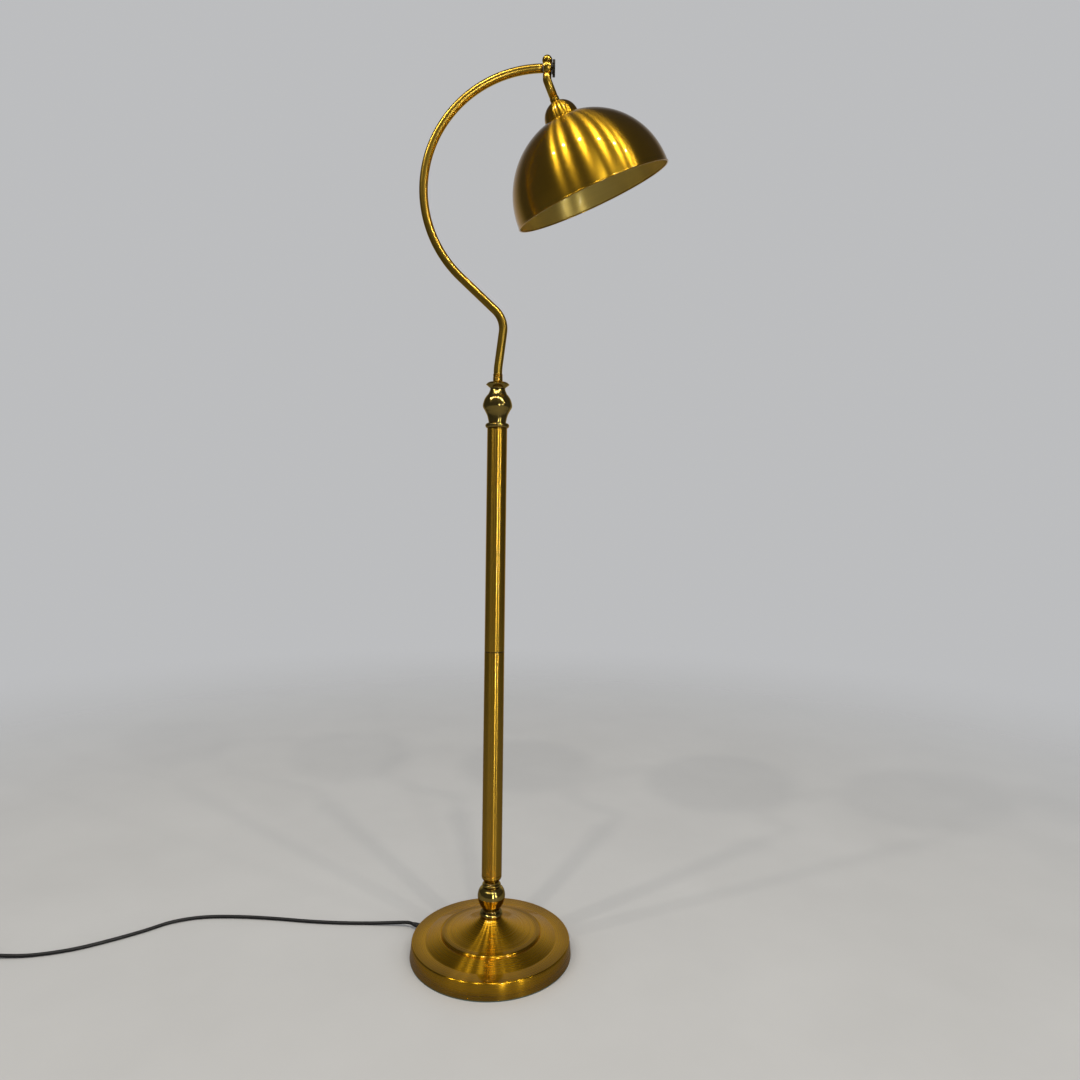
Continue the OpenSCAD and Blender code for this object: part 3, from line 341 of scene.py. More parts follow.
# The lining is paler and less metallic than the outside brass. This is painted light, standing in
# for light bounced into the dome. Its higher roughness is the duller spun finish.
shade_lining_painted_light = brass(
    "shade_lining_painted_light", (0.84, 0.65, 0.19), (0.50, 0.38, 0.10),
    rough=0.38, stretch=0.9, lacquer=0.1, grain=0.1, metal=0.85)
print("brass finishes made")


# %% [markdown]
# ## Plain finishes
# The small parts need less: steel, dark bronze, black moulded plastic with a fine grain, rubber for
# the cord, felt, raw iron, a glazed insulator and an opal bulb. Each has a little noise in its
# colour and its surface, at the size that the real one shows. On the clamp knob the near-black
# bronze is painted shade over a brass part that sits in shadow.

# %% Recipe: plain finishes
GRAIN_DEPTH, GRAIN_SPREAD = 0.4 * MM, 0.2


def speckled(name, light, dark, rough, scale, bump, metal=0.0, coat=0.0):
    material, tree, shader = new_material(name)
    spot = add_node(tree, "ShaderNodeTexCoord")
    grains = add_node(tree, "ShaderNodeTexNoise", Scale=scale, Detail=4.0, Roughness=0.6)
    tree.links.new(spot.outputs["Object"], grains.inputs["Vector"])
    colour = ramp_node(tree, grains.outputs["Fac"], [(0.3, dark), (0.7, light)])
    tree.links.new(colour, shader.inputs["Base Color"])
    least = rough - GRAIN_SPREAD / 2
    spread = math_node(tree, "MULTIPLY_ADD", grains.outputs["Fac"], GRAIN_SPREAD, least)
    tree.links.new(spread, shader.inputs["Roughness"])
    relief = add_node(tree, "ShaderNodeBump", Strength=bump, Distance=GRAIN_DEPTH)
    tree.links.new(grains.outputs["Fac"], relief.inputs["Height"])
    tree.links.new(relief.outputs["Normal"], shader.inputs["Normal"])
    shader.inputs["Metallic"].default_value = metal
    shader.inputs["Coat Weight"].default_value = coat
    return material


black_plastic = speckled(
    "black_plastic", (0.030, 0.030, 0.033), (0.018, 0.018, 0.020),
    rough=0.45, scale=2500, bump=0.25)
cord_rubber = speckled(
    "cord_rubber", (0.012, 0.012, 0.013), (0.006, 0.006, 0.007),
    rough=0.45, scale=700, bump=0.15)
# Near black: on the clamp knob this is painted shade over brass that sits in shadow.
dark_bronze_and_painted_shade = speckled(
    "dark_bronze_and_painted_shade", (0.045, 0.037, 0.022), (0.020, 0.017, 0.011),
    rough=0.42, scale=120, bump=0.05, metal=0.7, coat=0.1)
plain_brass = speckled(
    "plain_brass", (0.62, 0.40, 0.07), (0.42, 0.27, 0.04),
    rough=0.32, scale=90, bump=0.04, metal=1.0, coat=0.3)
plated_steel = speckled(
    "plated_steel", (0.62, 0.63, 0.65), (0.45, 0.46, 0.48),
    rough=0.32, scale=300, bump=0.05, metal=1.0)
raw_iron = speckled(
    "raw_iron", (0.16, 0.16, 0.17), (0.07, 0.07, 0.075),
    rough=0.7, scale=350, bump=0.6, metal=0.6)
green_felt = speckled(
    "green_felt", (0.10, 0.14, 0.11), (0.05, 0.07, 0.055),
    rough=0.95, scale=3000, bump=0.8)
glazed_insulator = speckled(
    "glazed_insulator", (0.84, 0.81, 0.73), (0.76, 0.72, 0.62),
    rough=0.3, scale=60, bump=0.04, coat=0.5)
rolled_aluminium = speckled(
    "rolled_aluminium", (0.78, 0.78, 0.79), (0.6, 0.6, 0.62),
    rough=0.3, scale=200, bump=0.05, metal=1.0)
opal_glass = speckled(
    "opal_glass", (0.94, 0.93, 0.90), (0.90, 0.89, 0.85),
    rough=0.32, scale=25, bump=0.01, coat=0.4)
PLAIN_FINISHES = {
    "steel": plated_steel, "iron": raw_iron, "felt": green_felt,
    "black_plastic": black_plastic, "black_cord": cord_rubber,
    "cream_insulator": glazed_insulator, "thread_metal": rolled_aluminium,
    "opal_bulb": opal_glass, "satin_brass": plain_brass,
    "dark_brass": dark_bronze_and_painted_shade, "polished_brass": dark_bronze_and_painted_shade,
}
slot_of = {part["node"]: part["material_slot"] for part in frame["record"]["subparts"]}
for node_name, solid in nodes.items():
    solid.data.materials.clear()
    solid.data.materials.append(PLAIN_FINISHES[slot_of[node_name]])
print("finishes on", len(nodes), "CAD nodes")

# %% [markdown]
# ## The mains cord
# The cord leaves the base through its strain relief, falls to the floor within a hand's breadth
# and runs to the left in lazy curves. The rest of its length is put away beyond the picture: past
# the foot switch it is wound into a flat coil of two layers and ends in its plug. It is one curve,
# through the same points as the CAD model's cord.

# %% The cord's route
CORD_R = 3.0
FLOOR_Z = 3.1
OUTLET_TURN, OUTLET_Z, BOOT_END = math.radians(154), 9, 164
SWITCH_Y, SWITCH_HALF = -37, 30.0
SWITCH_MIDDLE = Vector((-892, SWITCH_Y, 6))
outlet = Vector((math.cos(OUTLET_TURN), math.sin(OUTLET_TURN), 0))
tip = outlet * BOOT_END + Vector((0, 0, OUTLET_Z))
floor_route = smooth([
    tip, outlet * 178 + Vector((0, 0, 8.5)), (-190, 82, 5.5),
    (-230, 84, FLOOR_Z), (-285, 84, FLOOR_Z), (-345, 88, FLOOR_Z), (-410, 96, FLOOR_Z),
    (-480, 101, FLOOR_Z), (-545, 98, FLOOR_Z), (-595, 80, FLOOR_Z), (-632, 48, FLOOR_Z),
    (-675, 16, FLOOR_Z), (-725, -14, FLOOR_Z), (-780, -32, FLOOR_Z), (-825, SWITCH_Y, 4.2),
    SWITCH_MIDDLE + Vector((SWITCH_HALF + 12, 0, 0)),
    SWITCH_MIDDLE + Vector((SWITCH_HALF, 0, 0)),
], 4)

COIL_TURNS, COIL_RINGS, COIL_STEP = 4.25, 24, 6.6
COIL_MEAN_R = 33
COIL_OUT_R = COIL_MEAN_R + COIL_STEP * COIL_TURNS / 4
COIL_MIDDLE = Vector((-962, SWITCH_Y - COIL_OUT_R, 0))
COIL_LOW, COIL_HIGH = 4.0, 10.6
PLUG_X, PLUG_Z = COIL_MIDDLE.x - COIL_OUT_R, 7.2


def coil_point(angle):
    """Spiral in on the floor, climb in the half turn where the coil reverses, spiral out on top."""
    half = 180 * COIL_TURNS
    radius = COIL_OUT_R - COIL_STEP * min(angle, 2 * half - angle) / 360
    t = min(max((angle - half + 90) / 180, 0), 1)
    height = COIL_LOW + (COIL_HIGH - COIL_LOW) * t * t * (3 - 2 * t)
    a = math.radians(90 + angle)
    return COIL_MIDDLE + Vector((radius * math.cos(a), radius * math.sin(a), height))


coil_steps = int(COIL_TURNS * COIL_RINGS)
coil_route = [coil_point(i * 360 / COIL_RINGS) for i in range(coil_steps + 1)]
way_in = [
    SWITCH_MIDDLE + Vector((-SWITCH_HALF, 0, 0)),
    SWITCH_MIDDLE + Vector((-SWITCH_HALF - 6, 0, 0)),
    Vector((-946, SWITCH_Y, COIL_LOW)),
]
way_out = [Vector((PLUG_X, COIL_MIDDLE.y - dy, z))
           for dy, z in ((15, 10.2), (30, 9.0), (42, 7.6), (54, PLUG_Z), (60, PLUG_Z))]
cord_points = [p * MM for p in floor_route + way_in + coil_route + way_out]

# %% Make the cord
cord_curve = bpy.data.curves.new("mains_cord_sheath", "CURVE")
cord_curve.dimensions = "3D"
cord_curve.bevel_depth = CORD_R * MM
cord_curve.bevel_resolution = 3
cord_curve.use_fill_caps = True
strand = cord_curve.splines.new("POLY")
strand.points.add(len(cord_points) - 1)
for point, place_on_route in zip(strand.points, cord_points):
    point.co = (*place_on_route, 1.0)
strand.use_smooth = True
cord = bpy.data.objects.new("mains_cord_sheath", cord_curve)
bpy.context.collection.objects.link(cord)
cord_curve.materials.append(cord_rubber)
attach(cord, "stand")
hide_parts("mains_cord", "cord_coil")
print(f"{cord.name}: one curve on stand")

# %% [markdown]
# ## Turning pieces on a lathe
# Most of the lamp was made on a lathe or a spinning chuck, so most of it is an outline turned about
# an axis: the spin operator does the same. Real edges are never knife-sharp, so corners of the
# outline are eased first. Each point carries two notes through the spin: how far along the outline
# it lies, for the UV map, and how hollow the outline is there, for the stain.

# %% Outline helpers
SOFT_BEND = 0.3  # radians, about 17 degrees
EASE_SHARE, EASE_STEPS = 0.35, 4
HOLLOW_SHARE = 0.35


def eased(points, radius):
    """The outline with each corner sharper than a soft bend rounded off."""
    points = [Vector(p) for p in points]
    out = [points[0]]
    for before, corner, after in zip(points, points[1:], points[2:]):
        to, on = corner - before, after - corner
        if min(to.length, on.length) < 1e-6 or to.angle(on) < SOFT_BEND:
            out.append(corner)
            continue
        first = corner - to.normalized() * min(radius, EASE_SHARE * to.length)
        last = corner + on.normalized() * min(radius, EASE_SHARE * on.length)
        for i in range(EASE_STEPS + 1):
            t = i / EASE_STEPS
            out.append(first * (1 - t) ** 2 + corner * 2 * t * (1 - t) + last * t ** 2)
    return out + [points[-1]]


def hollows(points, reach):
    """How far each point lies inside its near neighbours, from 0 to 1, and how far along it is."""
    lengths = [0.0]
    for a, b in zip(points, points[1:]):
        lengths.append(lengths[-1] + (b - a).length)
    notes = []
    for here, at in zip(points, lengths):
        near = [p for p, s in zip(points, lengths) if abs(s - at) <= reach]
        middle = sum(p.x for p in near) / len(near)
        notes.append(min(max((middle - here.x) / (HOLLOW_SHARE * reach), 0.0), 1.0))
    return notes, lengths


# %% The lathe
def finish_piece(bm, name, body, replaced, finishes):
    """Turns a bmesh into an object with smooth shading, a body to ride on and its finishes."""
    for face in bm.faces:
        face.smooth = True
    mesh = bpy.data.meshes.new(name)
    bm.to_mesh(mesh)
    bm.free()
    for finish in finishes:
        mesh.materials.append(finish)
    piece = bpy.data.objects.new(name, mesh)
    bpy.context.collection.objects.link(piece)
    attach(piece, body)
    if replaced:
        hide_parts(*replaced)
    print(f"{name}: {len(mesh.polygons)} faces on {body}")
    return piece


def map_round(bm):
    """UV map for a turned piece about Z: U is the turn, V the distance along the outline."""
    uv = bm.loops.layers.uv.new("lathe")
    along = bm.verts.layers.float["along"]
    for face in bm.faces:
        centre = face.calc_center_median()
        facing = math.atan2(centre.y, centre.x)
        for loop in face.loops:
            co = loop.vert.co
            if co.x * co.x + co.y * co.y < 1e-12:
                turn = facing
            else:
                turn = math.atan2(co.y, co.x)
                turn = facing + (turn - facing + math.pi) % (2 * math.pi) - math.pi
            loop[uv].uv = (turn / (2 * math.pi), loop.vert[along])


def turned(name, outline, body, replaced, slot, finishes, place=None, ease=0.5, reach=6.0,
           steps=128, inner_from=None, flats=()):
    """A closed outline of (radius, height) in millimetres, turned about Z and put in its place."""
    points = eased(list(outline) + [outline[0]], ease)[:-1]
    notes, lengths = hollows(points, reach)
    bm = bmesh.new()
    along = bm.verts.layers.float.new("along")
    hollow = bm.verts.layers.float.new("hollow")
    ring = []
    for point, note, length in zip(points, notes, lengths):
        vert = bm.verts.new((point.x * MM, 0, point.y * MM))
        vert[along] = length * MM
        vert[hollow] = note
        ring.append(vert)
    edges = [bm.edges.new(pair) for pair in zip(ring, ring[1:] + ring[:1])]
    bmesh.ops.spin(bm, geom=ring + edges, cent=(0, 0, 0), axis=(0, 0, 1), angle=2 * math.pi,
                   steps=steps, use_merge=True)
    bmesh.ops.remove_doubles(bm, verts=bm.verts, dist=1e-7)
    bmesh.ops.recalc_face_normals(bm, faces=bm.faces)
    map_round(bm)
    if inner_from is not None:
        for face in bm.faces:
            if min(v[along] for v in face.verts) >= inner_from * MM:
                face.material_index = 1
    for at, way in flats:
        cut = bmesh.ops.bisect_plane(bm, geom=bm.verts[:] + bm.edges[:] + bm.faces[:],
                                     plane_co=Vector(at) * MM, plane_no=way, clear_outer=True)
        rim = [part for part in cut["geom_cut"] if isinstance(part, bmesh.types.BMEdge)]
        bmesh.ops.holes_fill(bm, edges=rim, sides=0)
        for edge in rim:
            edge.smooth = False
    if place is not None:
        bmesh.ops.transform(bm, matrix=place, verts=bm.verts)
    return finish_piece(bm, name, body, replaced, finishes)


def beside(points, distance):
    """The outline moved to its left-hand side."""
    last = len(points) - 1
    moved = []
    for i, point in enumerate(points):
        way = (points[min(i + 1, last)] - points[max(i - 1, 0)]).normalized()
        moved.append(point + distance * Vector((-way.y, way.x)))
    return moved


# %% [markdown]
# ## The base
# The base is one spun sheet: an upright wall, a flat ledge, a sloping band, a step and a hollow
# cone that rises to the column. The band is straight, so a lamp's streak runs down all of it. The
# sheet's thickness is modelled too, so its lower edge is a real edge above the felt.

# %% Spin the base
NIPPLE_R = 5.1
BASE_SHEET, BASE_TOP = 1.5, 64.5
base_outer = (
    [Vector((140.0, 2.0))]
    + arc((134.8, 25.5), 2.5, 6, 90, 8)
    + [Vector((113.4, 28)), Vector((88.9, 37.6))]
    + arc((81.9, 36.6), 4.2, 0, 90, 10)
    + smooth([(73.8, 40.8), (57.06, 44.83), (37.53, 51.94), (24.7, 58.81), (18.0, BASE_TOP)], 8)
    + [Vector((NIPPLE_R, BASE_TOP))]
)
base_inner = beside(base_outer[:-1], BASE_SHEET) + [Vector((NIPPLE_R, BASE_TOP - BASE_SHEET))]
turned("spun_base", base_outer + base_inner[::-1], "stand", ["base_shell"], "satin_brass",
       [base_brass], ease=0.7, steps=192)


# %% [markdown]
# ## The turned fittings
# Between base and column stand a ring, a baluster and a beaded collar, all turned from the solid
# and polished. The same family of shapes, larger, makes the urn at the column's top. Polished
# brass keeps its brown stain in the hollows, where the buff can't reach. Its colours are also
# darkened, with the stain near black, as painted shade for the dark room these fittings reflect.

# %% Turn the lower fittings
def fitting(name, low, side, high, node_name):
    """A polished fitting on the threaded tube, from one height to another."""
    turned(name, [(NIPPLE_R, low)] + side + [(NIPPLE_R, high)],
           "stand", [node_name], "polished_brass", [polished_brass])


BEAD_R = 4.5
BALUSTER_LOW, BALUSTER_HIGH, COLLAR_HIGH = 73.5, 116.5, 131.0
foot_side = arc((15.5, BASE_TOP + BEAD_R), BEAD_R, -90, 90, 20)
fitting("foot_bead", BASE_TOP, foot_side, BALUSTER_LOW, "foot_ring")
baluster_side = smooth([
    (15.5, BALUSTER_LOW), (14.7, 76.94), (20.74, 86.5), (24, 99.5), (21.15, 111.06),
    (14.5, BALUSTER_HIGH),
], 14)
fitting("baluster_turning", BALUSTER_LOW, baluster_side, BALUSTER_HIGH, "lower_baluster")
collar_side = (
    arc((13.445, 119.255), 2.755, -90, 90, 14)
    + smooth([(13.145, 122.41), (13.445, 125.49), (16.85, COLLAR_HIGH)], 10)
)
fitting("beaded_collar", BALUSTER_HIGH, collar_side, COLLAR_HIGH, "lower_collar")

# %% [markdown]
# ## The column
# The column is two equal tubes with a fine groove between them. Its foot is a plug with a rolled
# rim. The tubes were polished on the lathe, so their brush lines run round them too.

# %% Turn the column
COLUMN_R, TUBE_BORE_R, TUBE_LENGTH = 17.5, 16, 389
COLUMN_LOW, PLUG_R, PLUG_HIGH = 137.0, 15.95, 163
plug_side = [
    (NIPPLE_R, COLLAR_HIGH), (16.3, COLLAR_HIGH), (COLUMN_R, 132.6), (COLUMN_R, 136.2),
    (16.9, COLUMN_LOW), (PLUG_R, COLUMN_LOW), (PLUG_R, PLUG_HIGH), (NIPPLE_R, PLUG_HIGH),
]
turned("column_foot", plug_side, "stand", ["lower_plug"], "satin_brass", [satin_brass])
for name, low, node_name in (
    ("lower_column", COLUMN_LOW, "lower_tube"), ("upper_column", 527.2, "upper_tube"),
):
    high = low + TUBE_LENGTH
    tube_side = [(TUBE_BORE_R, low), (COLUMN_R, low), (COLUMN_R, high), (TUBE_BORE_R, high)]
    turned(name, tube_side, "stand", [node_name], "satin_brass", [satin_brass], ease=0.4)

# %% Turn the upper fittings
COLUMN_HIGH, URN_LOW, URN_HIGH, NECK_HIGH = 916.2, 925.2, 974.2, 997.2
NECK_BORE_R, NECK_FLOOR = 7.05, 977.2
ring_side = arc((16.5, 920.7), BEAD_R, -90, 90, 20)
fitting("column_bead", COLUMN_HIGH, ring_side, URN_LOW, "urn_ring")
urn_side = smooth([
    (15.7, URN_LOW), (15.6, 928.14), (17.925, 938.18), (21.6, 945.85), (25.8, 954.7),
    (23.175, 966.4), (18.3, URN_HIGH),
], 12)
fitting("urn_turning", URN_LOW, urn_side, URN_HIGH, "urn")
neck_side = (
    smooth([(17.5, URN_HIGH), (15.18, 978.8), (13.1, 984.55), (13.7, 986.85)], 10)
    + [(20.1, 992.1), (20.5, 992.6), (20.1, 993.1)]
    + smooth([(18, 995.4), (14.5, 996.9), (9.1, NECK_HIGH)], 8)
    + [(NECK_BORE_R, NECK_HIGH), (NECK_BORE_R, NECK_FLOOR)]
)
fitting("flanged_neck", URN_HIGH, neck_side, NECK_FLOOR, "urn_neck")

# %% [markdown]
# ## The swivel
# The arm stands in a ferrule that turns on a socket in the urn's neck. A thin washer keeps the two
# apart. Fine grooves, cut with a pointed tool, mark where one piece ends and the next begins.

# %% Turn the swivel
GROOVED = {"ease": 0.15, "reach": 1.2, "steps": 96}
WIRE_BORE_R = 5.5
socket_side = [
    (8.5, 997.2), (8.5, 998.9), (8.1, 999.2), (8.1, 999.6), (8.5, 999.9), (8.5, 1003.6),
    (8.1, 1004.2),
]
turned("socket_ring", [(WIRE_BORE_R, 997.2)] + socket_side + [(WIRE_BORE_R, 1004.2)],
       "stand", ["swivel_socket"], "satin_brass", [satin_brass], **GROOVED)
ferrule_side = [
    (8.0, 1004.7), (8.5, 1005.1), (8.5, 1006.2), (7.65, 1006.5), (7.65, 1007.3), (8.5, 1007.6),
    (8.5, 1008.5), (7.65, 1008.8), (7.65, 1009.5), (8.5, 1009.8), (8.5, 1010.6), (7.8, 1011.2),
]
turned("arm_foot", [(WIRE_BORE_R, 1004.7)] + ferrule_side + [(WIRE_BORE_R, 1011.2)],
       "arm", ["arm_ferrule"], "satin_brass", [satin_brass], **GROOVED)


# %% [markdown]
# ## Bending tubes
# The arm is one tube, bent on a former: a slight lean, a sharper elbow, a straight run and a wide
# arch. A circle is drawn along the same runs: straight ones are extruded, bends are spun about the
# former's centre. The function returns where the last run ends and which way it points.

# %% Ways in the XZ plane
def ahead(heading, distance):
    """A step along a heading in degrees, which is 0 along X and 90 upwards."""
    h = math.radians(heading)
    return distance * Vector((math.cos(h), 0, math.sin(h)))


def leftwards(heading, distance):
    """A step to the left of a heading."""
    h = math.radians(heading)
    return distance * Vector((-math.sin(h), 0, math.cos(h)))


# %% The tube bender
TUBE_R, TUBE_SIDES, TUBE_EASE = 7.5, 48, 0.4
BEND_STEP = 2.5  # degrees


def bent(name, start, heading, runs, body, replaced, place=None):
    """A tube whose runs are (length,) or (bend radius, turn in degrees, positive to the left)."""
    bm = bmesh.new()
    along = bm.verts.layers.float.new("along")
    around = bm.verts.layers.float.new("around")
    bm.verts.layers.float.new("hollow")
    at, travelled = Vector((start[0], 0, start[1])), 0.0
    ready = Matrix.Translation(at * MM) @ Matrix.Rotation(math.radians(90 - heading), 4, "Y")
    ring = bmesh.ops.create_circle(
        bm, segments=TUBE_SIDES, radius=(TUBE_R - TUBE_EASE) * MM, matrix=ready)["verts"]
    for i, vert in enumerate(ring):
        vert[around] = i / TUBE_SIDES

    def open_edges():
        """The edges of the last ring, which have no face on their far side yet."""
        last = set(ring)
        return [e for e in bm.edges if len(e.link_faces) < 2 and last.issuperset(e.verts)]

    def next_ring(grown):
        """The newest ring, which notes how far along the tube it is."""
        fresh = [g for g in grown if isinstance(g, bmesh.types.BMVert)]
        for vert in fresh:
            vert[along] = travelled * MM
        return fresh

    def go_straight(length):
        nonlocal at, travelled, ring
        step = ahead(heading, length)
        at, travelled = at + step, travelled + length
        ring = next_ring(bmesh.ops.extrude_edge_only(bm, edges=open_edges())["geom"])
        bmesh.ops.translate(bm, verts=ring, vec=step * MM)

    go_straight(TUBE_EASE)
    bmesh.ops.scale(bm, verts=ring, vec=(TUBE_R / (TUBE_R - TUBE_EASE),) * 3,
                    space=Matrix.Translation(-at * MM))
    for index, run in enumerate(runs):
        if len(run) == 1:
            go_straight(run[0] - (TUBE_EASE if index == 0 else 0))
            continue
        bend, turn = math.copysign(run[0], run[1]), run[1]
        count = max(2, round(abs(turn) / BEND_STEP))
        centre = at + leftwards(heading, bend)
        for _ in range(count):
            travelled += run[0] * math.radians(abs(turn)) / count
            spun = bmesh.ops.spin(bm, geom=ring + open_edges(), cent=centre * MM, axis=(0, -1, 0),
                                  angle=math.radians(turn / count), steps=1)
            ring = next_ring(spun["geom_last"])
        heading += turn
        at = centre - leftwards(heading, bend)
    bmesh.ops.holes_fill(bm, edges=bm.edges, sides=TUBE_SIDES)
    bmesh.ops.recalc_face_normals(bm, faces=bm.faces)
    uv = bm.loops.layers.uv.new("lathe")
    for face in bm.faces:
        turns = [loop.vert[around] for loop in face.loops]
        wraps = max(turns) - min(turns) > 0.5
        for loop, u in zip(face.loops, turns):
            loop[uv].uv = (u + 1 if wraps and u < 0.5 else u, loop.vert[along])
    if place is not None:
        bmesh.ops.transform(bm, matrix=place, verts=bm.verts)
    finish_piece(bm, name, body, replaced, [tube_brass])
    return (at.x, at.z), heading


# %% Bend the arm
arm_runs = [(8.5,), (80, -7), (60,), (45, 54), (83,), (212.5, -135.4)]
arm_end, arm_heading = bent("bent_arm", (0, 1006.7), 90, arm_runs,
                            "arm", ["arm_tube", "arm_sleeve"])
print("arm ends at", [round(v, 2) for v in arm_end], "heading", round(arm_heading, 1))

# %% [markdown]
# ## The hub
# The arm ends in a small ball with flats above and below, for the head's spindle, and at both
# sides, for the arm and the clamp. The spindle runs through it, with a ball finial on top, and a
# screw with a fluted knob clamps it.

# %% Turn the hub, bend the stem
HUB_X, HUB_Z = 79.5228, 1547.33
HUB_R, HUB_FLAT, SPINDLE_BORE_R = 12, 10, 4.4
HUB = Matrix.Translation(Vector((HUB_X, 0, HUB_Z)) * MM)
flat_turn = math.degrees(math.asin(HUB_FLAT / HUB_R))
hub_side = arc((0, 0), HUB_R, -flat_turn, flat_turn, 32)
turned("hub_ball", [(SPINDLE_BORE_R, -HUB_FLAT)] + hub_side + [(SPINDLE_BORE_R, HUB_FLAT)],
       "arm", ["arm_hub"], "polished_brass", [tube_brass], place=HUB, ease=0.3, steps=96,
       flats=[((8, 0, 0), (1, 0, 0)), ((-7, 0, 0), (-1, 0, 0))])
FINIAL_R, FINIAL_FOOT_R, FINIAL_Z = 8.8, 8.2, 13.994
foot_turn = math.degrees(math.acos(FINIAL_FOOT_R / FINIAL_R))
finial_side = arc((0, FINIAL_Z), FINIAL_R, -foot_turn, 88, 30)
turned("finial_ball", [(SPINDLE_BORE_R, 10.8)] + finial_side + [(0.0, FINIAL_Z + FINIAL_R)],
       "head", ["ball_finial"], "polished_brass", [tube_brass], place=HUB, ease=0.3, steps=96)

STEM_TURN = math.radians(27)
STEM = Matrix.Translation((HUB_X * MM, 0, 0)) @ Matrix.Rotation(STEM_TURN, 4, "Z")
bent("bent_stem", (0, 1536.53), -90, [(7.5,), (9, 27), (29,)], "head", ["stem"], place=STEM)


# %% Cut the clamp knob
def soften(bm, edges, radius, steps):
    """Rounds edges off to a radius in millimetres."""
    bmesh.ops.bevel(bm, geom=edges, offset=radius * MM, segments=steps, profile=0.5,
                    affect="EDGES", material=-1)


KNOB_R, KNOB_THICK, KNOB_OUT = 14, 4.5, 9.3
FLUTES, FLUTE_DEPTH = 12, 0.075
BOSS_R, BOSS_LONG = 9.3, 2
bm = bmesh.new()
rim = bmesh.ops.create_circle(bm, cap_ends=True, segments=12 * FLUTES, radius=KNOB_R * MM)
for vert in rim["verts"]:
    turn = math.atan2(vert.co.y, vert.co.x)
    vert.co *= 1 - FLUTE_DEPTH * max(0.0, math.cos(FLUTES * turn)) ** 2
grown = bmesh.ops.extrude_face_region(bm, geom=bm.faces[:])["geom"]
bmesh.ops.translate(bm, vec=(0, 0, KNOB_THICK * MM),
                    verts=[g for g in grown if isinstance(g, bmesh.types.BMVert)])
bmesh.ops.recalc_face_normals(bm, faces=bm.faces)
soften(bm, [e for e in bm.edges if len(e.link_faces) == 2 and e.calc_face_angle(0) > 1.0], 0.6, 3)
top = max((f for f in bm.faces if f.normal.z > 0.99), key=lambda f: f.calc_area())
bmesh.ops.inset_region(bm, faces=[top], thickness=3.5 * MM, depth=0)
bmesh.ops.inset_region(bm, faces=[top], thickness=0.8 * MM, depth=-0.7 * MM)
bmesh.ops.create_cone(bm, cap_ends=True, segments=64, radius1=BOSS_R * MM, radius2=BOSS_R * MM,
                      depth=BOSS_LONG * MM)
to_side = Matrix.Rotation(math.radians(90), 4, "Y") @ Matrix.Translation((0, 0, KNOB_OUT * MM))
bmesh.ops.transform(bm, verts=bm.verts, matrix=HUB @ to_side)
# The knob's near-black finish is painted shade: the knob is brass that looks dark in shadow.
finish_piece(bm, "fluted_knob", "knob", ["clamp_knob"], [dark_bronze_and_painted_shade])

# %% [markdown]
# ## The head
# Stem collar, cap, shade and lamp holder share one axis, which leads down, to the right and a
# little away from the camera. They are turned upright and then moved by one matrix. The shade is a
# spun dome with a rolled hem. Its inside is a second finish: the spinner leaves it duller, and its
# paler colour is painted light that stands in for light bounced into the dome.

# %% Spin the head
ELBOW = Vector((HUB_X, 0, 1526.869)) * MM
LEAN = Matrix.Rotation(STEM_TURN, 4, "Z") @ Matrix.Rotation(math.radians(153), 4, "Y")
HEAD = Matrix.Translation(ELBOW) @ LEAN
ring_side = [
    (7.5, 31.16), (8.3, 31.6), (8.3, 32.6), (7.8, 32.9), (7.8, 33.3), (8.3, 33.6), (8.3, 36.5),
    (7.6, 37.1),
]
turned("head_collar", [(WIRE_BORE_R, 31.16)] + ring_side + [(WIRE_BORE_R, 37.1)],
       "head", ["stem_collar"], "satin_brass", [satin_brass], place=HEAD, **GROOVED)
SHEET = 1.2
CAP_S, CAP_R = 67.739, 31.0
cap_outer = arc((0, CAP_S), CAP_R, -80.5, -2, 36) + [(CAP_R, CAP_S - 0.3), (CAP_R - 0.2, CAP_S)]
cap_inner = arc((0, CAP_S), CAP_R - SHEET, -2, -80.2, 36)
turned("spun_cap", cap_outer + cap_inner, "head", ["shade_cap"], "satin_brass", [brushed_brass],
       place=HEAD, ease=0.3)
SHADE_S, SHADE_R, HEM_R, HEM_LENGTH = 208.362, 144.0, 1.4, 6.0
SHADE_TOP, SHADE_RIM = -87.97, -0.3
shade_outer = arc((0, SHADE_S), SHADE_R, SHADE_TOP, SHADE_RIM, 96)
hem = arc((SHADE_R - 0.6, SHADE_S + 0.5), HEM_R, -50, 230, 16)
shade_inner = arc((0, SHADE_S), SHADE_R - SHEET, -0.6, -87.95, 96)
outside = SHADE_R * math.radians(SHADE_RIM - SHADE_TOP) + HEM_LENGTH
turned("spun_shade", shade_outer + hem + shade_inner, "head", ["shade"], "satin_brass",
       [brushed_brass, shade_lining_painted_light], place=HEAD, ease=0.3, steps=256, inner_from=outside)

# %% [markdown]
# ## Lamp holder and bulb
# Under the dome hang a holder with a flared mouth and an opal bulb. The bulb's cap has a rolled
# thread, which a row of small waves in its outline stands for.

# %% Turn the lamp holder
HOLDER = HEAD @ Matrix.Translation((0, 0, 3.37 * MM))


def holder_piece(name, outline, node_name, finish, ease=0.3, steps=96):
    """A turned piece on the lamp holder's axis."""
    turned(name, outline, "head", [node_name], slot_of[node_name], [finish], place=HOLDER,
           ease=ease, steps=steps)


